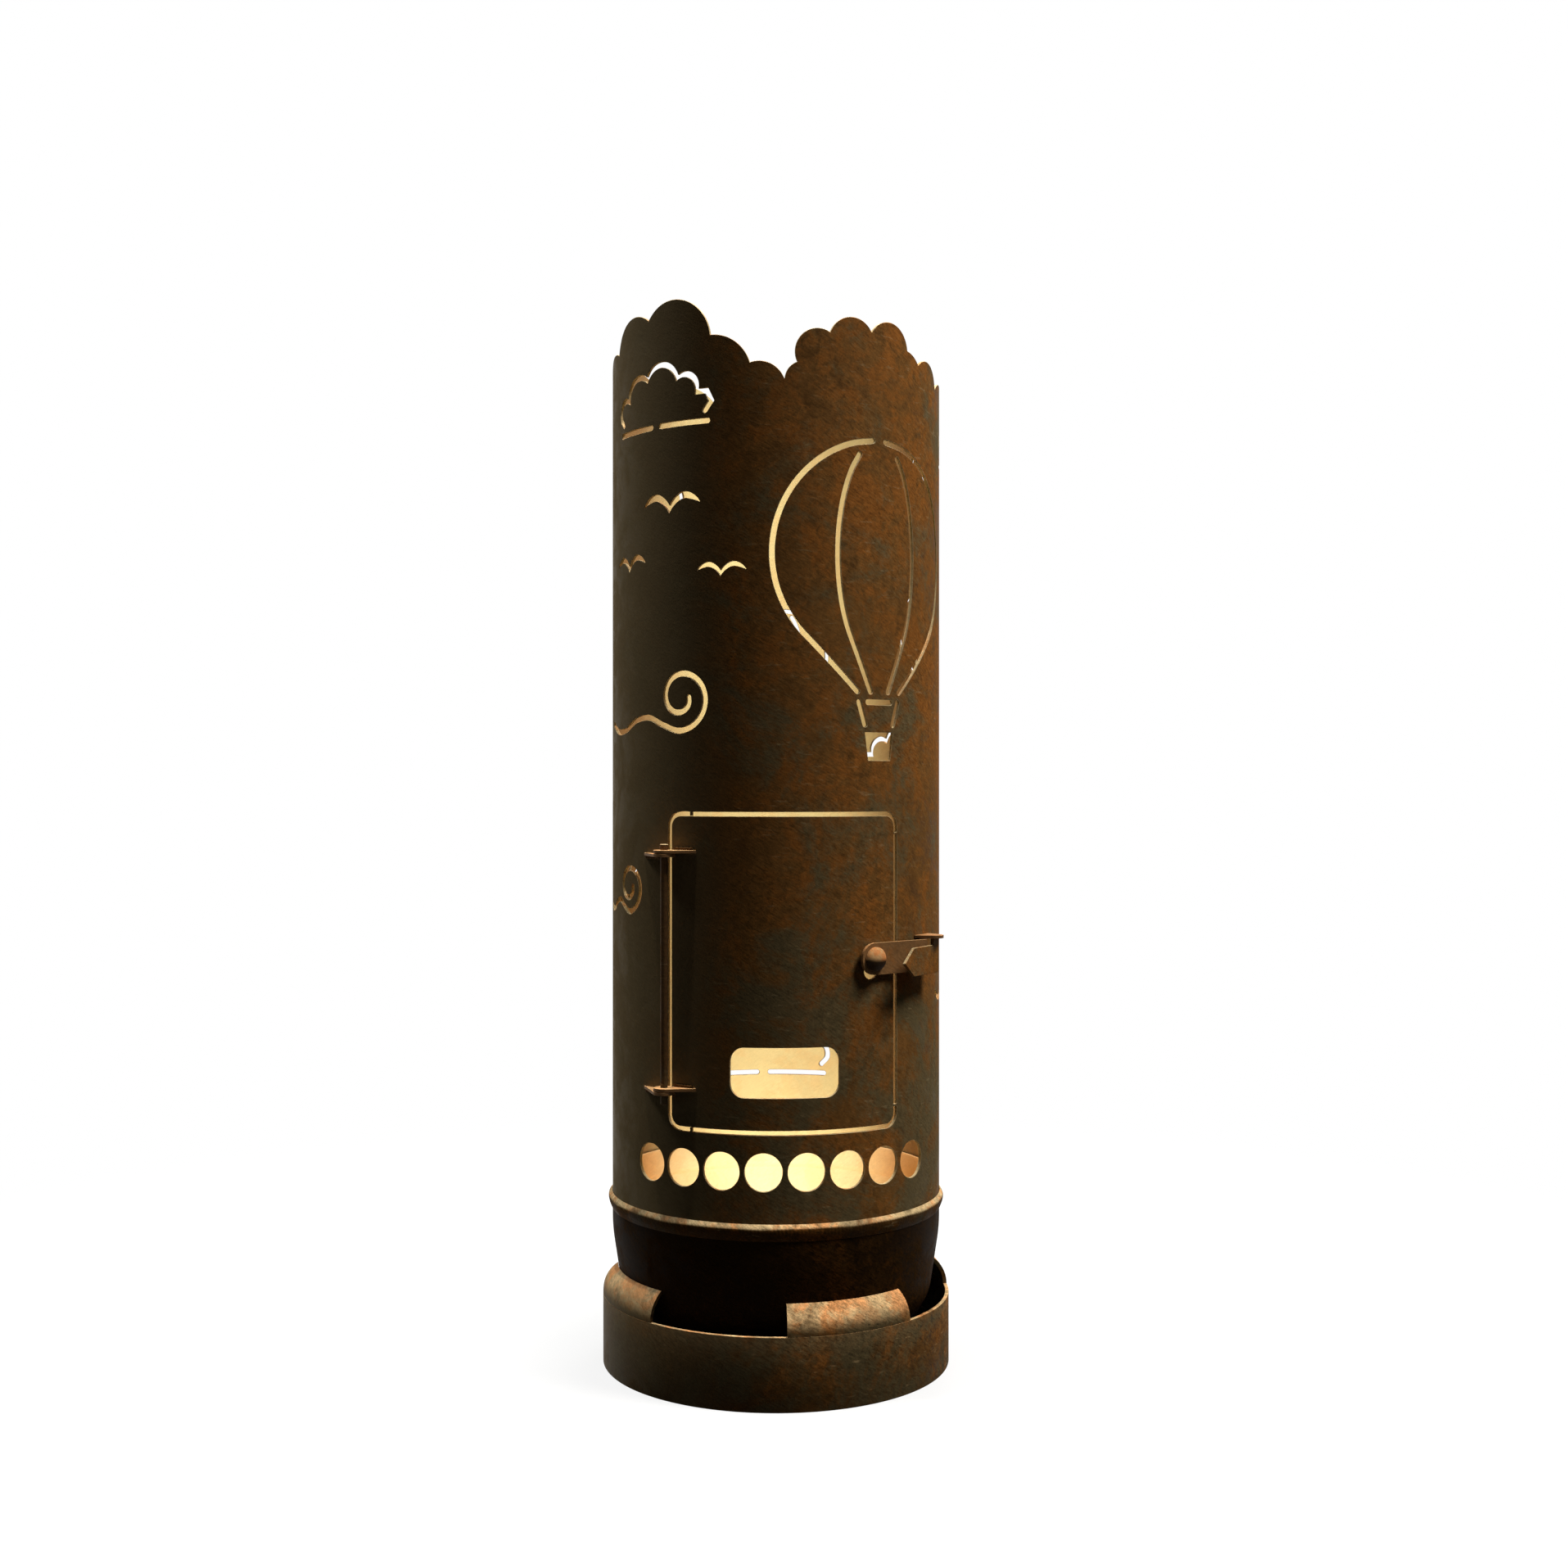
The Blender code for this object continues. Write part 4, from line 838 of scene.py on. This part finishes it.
def fitting_finish(name, top=1.0):
    """Brown plates with bright tan on top: partly rust, partly painted top light, as bright as
    top says.
    """
    c = colours()
    tones = (c.fitting, scaled(c.fitting, 1.2), c.bloom, scaled(c.fitting, 0.7),
             scaled(c.tan, top))
    return [steel(name, tones, (0.40, 0.25, 0.3, 0.35), cover=0.8, specular=0.12,
                  relief=0.00008)]


def weld_finish(name):
    """A weld bead: a pale, mottled top, partly crust and partly painted top light, and near black
    below, partly dark rust and partly painted shade.
    """
    c = colours()
    tones = (scaled(c.scale, 0.3), scaled(c.rust, 0.5), scaled(c.bloom, 0.8),
             scaled(c.patina, 0.4), mixed(c.dust_and_top_light, 1.15, c.tan, 0.28))
    return [steel(name, tones, (0.50, 0.40, 0.30, 0.7), ("top", 0.05, 0.6), cover=0.25,
                  specular=0.02)]


class FIREBARREL_OT_shell(bpy.types.Operator):
    """Builds the barrel's wall"""

    bl_idname = "firebarrel.shell"
    bl_label = "Barrel wall"

    def execute(self, context):
        piece = rolled_sheet("barrel_shell_fine", "barrel_shell", True)
        settle(piece, "barrel", "barrel_shell", wall_finish())
        return {"FINISHED"}


class FIREBARREL_OT_door(bpy.types.Operator):
    """Builds the door panel"""

    bl_idname = "firebarrel.door"
    bl_label = "Door panel"

    def execute(self, context):
        piece = rolled_sheet("door_panel_fine", "door_panel", False)
        settle(piece, "door", "door_panel", wall_finish())
        return {"FINISHED"}


class FIREBARREL_OT_bottom(bpy.types.Operator):
    """Builds the dished bottom and its weld"""

    bl_idname = "firebarrel.bottom"
    bl_label = "Dished bottom and girth weld"

    def execute(self, context):
        c = colours()
        outer = dish_profile()
        side = np.gradient(outer, axis=0)
        normal = np.stack([side[:, 1], -side[:, 0]], 1)
        normal /= np.hypot(*normal.T)[:, None]
        normal[-1] = (0, np.sign(normal[-1, 1]))
        inner = outer + normal * SHEET
        inner[-1, 0] = 0
        lip = arc((outer[0, 0] - SHEET / 2, outer[0, 1]), SHEET / 2, pi, 0, 6)[1:-1]
        dish = turned("bottom_dish_fine", np.concatenate([outer, inner[::-1], lip]),
                      sizes().turn_steps)
        # near black outside: painted shadow of the girth weld, partly soot
        soot_and_shadow = scaled(c.scale, 0.1)
        tones = (soot_and_shadow, scaled(c.rust, 0.17), scaled(c.bloom, 0.2), soot_and_shadow, soot_and_shadow)
        finish = [steel("dish_outside", tones, (0.45, 0.35, 0.2, 1.0), specular=0.01),
                  inside_finish("dish_inside", 1.08, 1.1)]
        settle(dish, "barrel", "bottom_dish", finish)
        faces = dish.data.polygons
        middle, facing = vectors(faces, "center"), vectors(faces, "normal")
        inwards = (middle[:, :2] * facing[:, :2]).sum(1) < 0
        inwards |= (facing[:, 2] > 0) & (middle[:, 2] < DISH_FLOOR)
        faces.foreach_set("material_index", inwards.astype(np.int32))

        low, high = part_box("girth_weld")
        half, level = (high.z - low.z) / 2, (high.z + low.z) / 2
        inside = SHELL_RADIUS + 0.0004
        weld = girth_bead("girth_weld_fine", inside, high.x - inside, level, half)
        settle(weld, "barrel", "girth_weld", weld_finish("girth_weld"))
        return {"FINISHED"}


def dish_profile():
    """The dish's outer line from lip to centre: joggled lip, straight taper, knuckle, crown.
    The joggle follows 3 t^2 - 2 t^3, a parabola leads into the taper, and the knuckle's circle
    touches both the taper and the crown's."""
    lip, top, joggle, shoulder = 0.1554, 0.180, 0.1582, 0.1515
    knuckle_radius, clearance, blend = 0.050, 0.022, 0.012
    lean = atan(DISH_SLOPE)
    foot = np.array([SHELL_RADIUS - DISH_TAPER, DISH_TAPER_END])
    knuckle = foot + knuckle_radius * np.array([-cos(lean), sin(lean)])
    rise = clearance - knuckle[1]
    crown = (knuckle_radius ** 2 - knuckle[0] ** 2 - rise ** 2) / (2 * (rise + knuckle_radius))
    centre = clearance + crown
    tangent = atan2(knuckle[1] - centre, knuckle[0])
    t = np.linspace(0, 1, 9)[:, None]
    joggled = np.concatenate([lip + (SHELL_RADIUS - lip) * t * t * (3 - 2 * t),
                              joggle + (shoulder - joggle) * t], 1)
    bend = np.array([[SHELL_RADIUS, DISH_WALL + blend], [SHELL_RADIUS, DISH_WALL],
                     [SHELL_RADIUS - DISH_SLOPE * blend, DISH_WALL - blend]])
    curve = (1 - t) ** 2 * bend[0] + 2 * t * (1 - t) * bend[1] + t ** 2 * bend[2]
    straight = curve[-1] + (foot - curve[-1]) * np.linspace(0, 1, 6)[1:-1, None]
    return np.concatenate([
        [[lip, top], [lip, (top + joggle) / 2]], joggled, curve, straight,
        arc(knuckle, knuckle_radius, -lean, tangent, 24),
        arc((0, centre), crown, tangent, -pi / 2, 24)[1:]])


def girth_bead(name, inside, crown, level, half):
    """The wide weld: at a share q of the way down, the profile stands out as crown sin(pi/2 u),
    where u rises from 0 to 1 over the first third and falls to 0 over the rest. Ripples
    e (1 - 2 t^2), each a pitch long and bowed by q, lift it, and sines of the azimuth make it
    wander up and down."""
    step, across, crest, bow, spread = 0.0011, 19, 0.33, 0.9, 0.97
    steps, height = round(SHELL_ROUND / step), sizes().ripple_height
    a, q = np.meshgrid(np.arange(steps) * 2 * pi / steps, np.linspace(0, 1, across),
                       indexing="ij")
    rise = np.sin(pi / 2 * np.where(q < crest, q / crest, (1 - q) / (1 - crest)))
    ripples = round(SHELL_ROUND / sizes().ripple_pitch)
    phase = a * ripples / (2 * pi) + bow * (2 * q - 1) ** 2
    ripple = height * (2 * (1 - (2 * (phase % 1) - 1) ** 2) - 1) * rise
    wander = 0.0004 * np.sin(3 * a + 1.0) + 0.0003 * np.sin(11 * a) + 0.0002 * np.sin(23 * a + 2)
    points = around(a, inside + (crown - height) * rise + ripple,
                    level + half * spread * (1 - 2 * q) + wander * rise)
    return tidy(new_mesh(name, points.reshape(-1, 3), quads(steps, across)), SHARP_WELD)


class FIREBARREL_OT_foot(bpy.types.Operator):
    """Builds the foot ring"""

    bl_idname = "firebarrel.foot"
    bl_label = "Foot ring"

    def execute(self, context):
        c = colours()
        radius, sheet, band, curl, soft = 0.16815, 0.0035, 0.0672, 0.031, 0.0005
        steps, quarter = sizes().turn_steps, pi / 2
        centre = (radius - curl, band)
        outer, inner = radius - soft, radius - sheet + soft
        line = np.concatenate([arc((r, z), soft, start, start - quarter, 3) for r, z, start in (
            (outer, band - soft, quarter), (outer, soft, 0), (inner, soft, -quarter),
            (inner, band - soft, pi))])
        parts = [turned("foot_band", line, steps)]
        ends = [meeting_angle(centre, reach) for reach in (curl, curl - sheet)]
        shoulder = np.concatenate([arc(centre, curl, ends[0], 0, 14),
                                   arc(centre, curl - sheet, 0, ends[1], 14)])
        count = len(shoulder)
        caps = [[base + k, base + k + 1, base + count - 2 - k, base + count - 1 - k]
                for base in (0, steps // 8 * count) for k in range(count // 2 - 1)]
        for k in range(4):
            start, end = (radians(90 * k + a) for a in (0.5, 44.0))
            parts.append(carried(f"foot_shoulder_{k}", shoulder,
                                 np.linspace(start, end, steps // 8 + 1), False, caps=caps))
        # shoulder tops pale as painted top light, partly dust; weather also gives the foot the
        # painted sheen on one side
        tones = (scaled(c.scale, 0.5), scaled(c.rust, 0.8), c.bloom, scaled(c.patina, 0.75),
                 mixed(c.tan, 0.75, c.dust_and_top_light, 0.75))
        finish = [steel("foot_ring", tones, (0.45, 0.35, 0.38, 0.75), ("top", 0.02, 0.60),
                        weather=0.65, cover=0.25)]
        settle(joined("foot_ring_fine", parts), "barrel", "foot_ring", finish)
        return {"FINISHED"}


def meeting_angle(centre, reach, sunk=0.0005):
    """The angle at which a circle of (radius, z) has sunk this far into the dish's tapered
    wall, by halving."""
    low, high = 0.0, pi / 2
    for _ in range(40):
        angle = (low + high) / 2
        r, z = centre[0] + reach * cos(angle), centre[1] + reach * sin(angle)
        outside = r - sunk > SHELL_RADIUS - DISH_SLOPE * (DISH_WALL - z)
        low, high = (angle, high) if outside else (low, angle)
    return low


class FIREBARREL_OT_welds(bpy.types.Operator):
    """Builds the small weld beads"""

    bl_idname = "firebarrel.welds"
    bl_label = "Small welds"

    def execute(self, context):
        c = colours()
        feet = [f"foot_ring_weld_{k}" for k in range(1, 5)]
        shell_ears = ["shell_ear_weld_upper", "shell_ear_weld_lower", "keeper_ear_weld"]
        door_ears = ["door_ear_weld_upper", "door_ear_weld_lower"]
        # foot welds: pale tops as painted top light, near black below as painted shade
        crust_and_painted_light = weld_finish("foot_weld")
        tones = (scaled(c.scale, 0.7), scaled(c.rust, 0.6), c.rust, c.scale, c.scale)
        brown = [steel("ear_weld", tones, (0.5, 0.3, 0.3, 0.3))]
        for node in feet + shell_ears + door_ears:
            body = "door" if node in door_ears else "barrel"
            radius, finish = (0.0022, crust_and_painted_light) if node in feet else (0.0011, brown)
            place = vectors(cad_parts[node].data.vertices, "co")
            azimuth = np.arctan2(place[:, 0], -place[:, 1])
            middle = atan2(*(radial(azimuth).sum(0)[:2] * (1, -1)))
            azimuth = (azimuth - middle + pi) % (2 * pi) - pi + middle
            reach = np.hypot(place[:, 0], place[:, 1])
            path = around(np.linspace(azimuth.min(), azimuth.max(), 40),
                          (reach.min() + reach.max()) / 2,
                          (place[:, 2].min() + place[:, 2].max()) / 2)
            settle(bead(node + "_fine", path, radius), body, node, finish)
        return {"FINISHED"}


class FIREBARREL_OT_hinge(bpy.types.Operator):
    """Builds the hinge's ears and rod"""

    bl_idname = "firebarrel.hinge"
    bl_label = "Hinge"

    def execute(self, context):
        # the ears' tops nearly twice as bright: painted top light where the lamps barely reach
        # them
        finish = fitting_finish("hinge_fitting", 1.9)
        for node, body in (("door_ear_upper", "door"), ("door_ear_lower", "door"),
                           ("shell_ear_upper", "barrel"), ("shell_ear_lower", "barrel")):
            settle(softened(node), body, node, finish)
        low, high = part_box("hinge_rod")
        rod, head, tall, soft, edge = 0.0033, 0.0040, 0.0050, 0.0008, 0.0002
        seat = high.z - tall
        profile = np.concatenate([
            [[0, high.z]], arc((head - soft, high.z - soft), soft, pi / 2, 0, 4),
            [[head, seat + edge], [head - edge, seat], [rod, seat]],
            arc((rod - soft, low.z + soft), soft, 0, -pi / 2, 4), [[0, low.z]]])
        piece = turned("hinge_rod_fine", profile, 32, radial(HINGE_AZIMUTH)[:2] * HINGE_RADIUS)
        c = colours()
        dark = scaled(c.fitting, 0.45)
        # twice the dust colour on the head's top: painted top light
        tones = (dark, scaled(dark, 1.3), c.rust, scaled(c.lee_and_sheen, 0.5), scaled(c.dust_and_top_light, 2.0))
        settle(piece, "barrel", "hinge_rod",
               [steel("hinge_rod", tones, (0.4, 0.3, 0.5, 0.5), specular=0.06)])
        return {"FINISHED"}


class FIREBARREL_OT_latch(bpy.types.Operator):
    """Builds the latch arm, its bolt and the keeper"""

    bl_idname = "firebarrel.latch"
    bl_label = "Latch and keeper"

    def execute(self, context):
        finish = fitting_finish("latch_fitting")
        for node, body in (("latch_arm", "latch"), ("keeper_ear", "barrel"),
                           ("latch_spacer", "door"), ("latch_inner_washer", "door"),
                           ("latch_nut", "door")):
            settle(softened(node), body, node, finish)
        settle(softened("keeper_hook"), "barrel", "keeper_hook",
               wall_finish()[:1])
        shank, head, tall, soft, rim, point = 0.005, 0.011, 0.008, 0.0005, 0.0012, 0.0006
        out = radial(ARM_AZIMUTH)
        across = np.array([cos(ARM_AZIMUTH), sin(ARM_AZIMUTH), 0])
        up = np.array([0, 0, 1.0])
        reach = vectors(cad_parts["latch_bolt"].data.vertices, "co") @ out
        tail, seat = reach.min(), reach.max() - tall
        dome = arc((0, 0), 1, pi / 2, 0.06, 20) * (head, tall - rim)
        dome[:, 1] += seat + rim
        profile = np.concatenate([
            dome, arc((head - soft, seat + soft), soft, 0, -pi / 2, 3),
            [[shank, seat], [shank, tail + point], [shank - point, tail], [0, tail]]])
        piece = turned("latch_bolt_fine", profile, 64)
        points = vectors(piece.data.vertices, "co")
        points = points @ np.stack([across, up, out]) + across * BOLT_ACROSS + up * ARM_LEVEL
        piece.data.vertices.foreach_set("co", points.ravel())
        piece.data.update()
        c = colours()
        # painted light on the dome: a tan highlight on top and painted shade, black, below
        black_shade = scaled(c.scale, 0.15)
        finish = [steel("latch_bolt", (black_shade, black_shade, scaled(c.rust, 0.4), black_shade, c.tan),
                        (0.4, 0.2, 0.2, 0.3), ("top", -0.16, 0.12), specular=0.05)]
        settle(tidy(piece), "door", "latch_bolt", finish)
        return {"FINISHED"}


class FIREBARREL_OT_stage(bpy.types.Operator):
    """Sets up the floor, the lamps, the world and the camera"""

    bl_idname = "firebarrel.stage"
    bl_label = "Studio"

    def execute(self, context):
        scene = context.scene
        scene.view_settings.view_transform = "Standard"
        corners = [(x * FLOOR_REACH, y * FLOOR_REACH, 0)
                   for x, y in ((-1, -1), (1, -1), (1, 1), (-1, 1))]
        floor = new_mesh("floor", corners, [[0, 1, 2, 3]])
        floor.data.materials.append(floor_finish())
        scene.world = studio_world()
        for name, (azimuth, distance, level, target, size, power, colour) in LAMPS.items():
            place = Vector(around(radians(azimuth), distance, level))
            made = lamp(name, place, power, colour, size)
            made.rotation_mode = "QUATERNION"
            aim = Vector((0, 0, target)) - place
            made.rotation_quaternion = aim.to_track_quat("-Z", "Y")
        for low, high, power in GLOWS:
            glow(low, high, power)
        scene.camera = camera()
        return {"FINISHED"}


def camera():
    """The camera, where the photo was taken from; it looks level at the barrel's axis."""
    eye = bpy.data.cameras.new("camera")
    made = new_object("camera", eye)
    made.location = around(CAMERA_AZIMUTH, CAMERA_DISTANCE, CAMERA_LEVEL)
    made.rotation_euler = (pi / 2, 0, CAMERA_AZIMUTH)
    eye.sensor_width = CAMERA_SENSOR
    eye.lens = CAMERA_SENSOR * FOCAL_PIXELS / PHOTO_PIXELS
    eye.shift_x = (PHOTO_PIXELS / 2 - CENTRE_PIXEL) / PHOTO_PIXELS
    eye.clip_start, eye.clip_end = 0.01, 200
    return made


def studio_world():
    """A weak warm light from all round, which camera and reflections see as white."""
    world = bpy.data.worlds.new("studio")
    world.use_nodes = True
    tree = world.node_tree
    wires = Wiring(tree)
    dim = tree.nodes["Background"]
    wires.feed(dim, {"Color": (1.0, 0.96, 0.90, 1), "Strength": 0.020})
    white = wires.node("Background", {"Color": (1, 1, 1, 1), "Strength": 1.0})
    wires.feed(tree.nodes["World Output"], {
        "Surface": wires.node("MixShader", {0: seen_rays(wires), 1: dim.outputs[0], 2: white})})
    return world


def seen_rays(wires):
    """1 for camera, glossy and transmission rays."""
    rays = wires.node("LightPath", {}, None)
    first = wires.maths("MAXIMUM", rays["Is Camera Ray"], rays["Is Glossy Ray"])
    return wires.maths("MAXIMUM", first, rays["Is Transmission Ray"])


def floor_finish():
    """A white floor that keeps a soft shadow, is plain under the barrel, and throws little
    light back up."""
    material = bpy.data.materials.new("floor")
    material.use_nodes = True
    tree = material.node_tree
    tree.nodes.remove(tree.nodes["Principled BSDF"])
    wires = Wiring(tree)
    dull, pale = (wires.node("BsdfDiffuse", {"Color": (grey, grey, grey, 1)})
                  for grey in (0.02, 0.9))
    white = wires.node("Emission", {"Color": (1, 1, 1, 1)})
    place = wires.node("TexCoord", {}, "Object")
    reach = wires.node("VectorMath", {0: place}, "Value", operation="LENGTH")
    fade = wires.ramp(reach, 0.35, 1.3, 0.22, 0.0)
    under = wires.ramp(reach, SHELL_RADIUS, SHELL_RADIUS + 0.006, 1.0, 0.0, "LINEAR")
    shown = wires.node("MixShader", {0: wires.maths("MAXIMUM", fade, under), 1: white, 2: pale})
    wires.feed(tree.nodes["Material Output"], {
        "Surface": wires.node("MixShader", {0: seen_rays(wires), 1: dull, 2: shown})})
    return material


def lamp(name, place, power, colour, size):
    """An area lamp, a disk of this size."""
    light = bpy.data.lights.new(name, "AREA")
    light.shape = "DISK"
    light.size, light.energy, light.color = size, power, colour
    made = new_object(name, light)
    made.location = place
    return made


def glow(low, high, power):
    """Light inside the barrel, itself unseen: strips on the axis that shine to the back and,
    half as strongly, to the front."""
    for turn, part in ((pi / 2, 1.0), (-pi / 2, 0.5)):
        made = lamp("glow", (0, 0, (low + high) / 2), power * part, GLOW_COLOUR, GLOW_WIDTH)
        made.data.shape = "RECTANGLE"
        made.data.size_y = high - low
        made.data.spread = GLOW_SPREAD
        made.rotation_euler = (turn, 0, 0)
        made.visible_camera = False


BUILDERS = (FIREBARREL_OT_shell, FIREBARREL_OT_door, FIREBARREL_OT_bottom, FIREBARREL_OT_foot,
            FIREBARREL_OT_welds, FIREBARREL_OT_hinge, FIREBARREL_OT_latch, FIREBARREL_OT_stage)


class FIREBARREL_PT_panel(bpy.types.Panel):
    """Lists the sizes, the colours and the builders"""

    bl_idname = "FIREBARREL_PT_panel"
    bl_label = "Fire Barrel"
    bl_space_type = "VIEW_3D"
    bl_region_type = "UI"
    bl_category = "Fire Barrel"

    def draw(self, context):
        for group in (context.scene.barrel_sizes, context.scene.barrel_colours):
            box = self.layout.box()
            for key in group.__annotations__:
                box.prop(group, key)
        for builder in BUILDERS:
            self.layout.operator(builder.bl_idname)


CLASSES = (BarrelSizes, BarrelColours, *BUILDERS, FIREBARREL_PT_panel)


def register():
    for made in CLASSES:
        bpy.utils.register_class(made)
    bpy.types.Scene.barrel_sizes = PointerProperty(type=BarrelSizes)
    bpy.types.Scene.barrel_colours = PointerProperty(type=BarrelColours)


def unregister():
    del bpy.types.Scene.barrel_colours
    del bpy.types.Scene.barrel_sizes
    for made in reversed(CLASSES):
        bpy.utils.unregister_class(made)


def main():
    register()
    for builder in BUILDERS:
        group, name = builder.bl_idname.split(".")
        getattr(getattr(bpy.ops, group), name)()


if __name__ == "__main__":
    main()
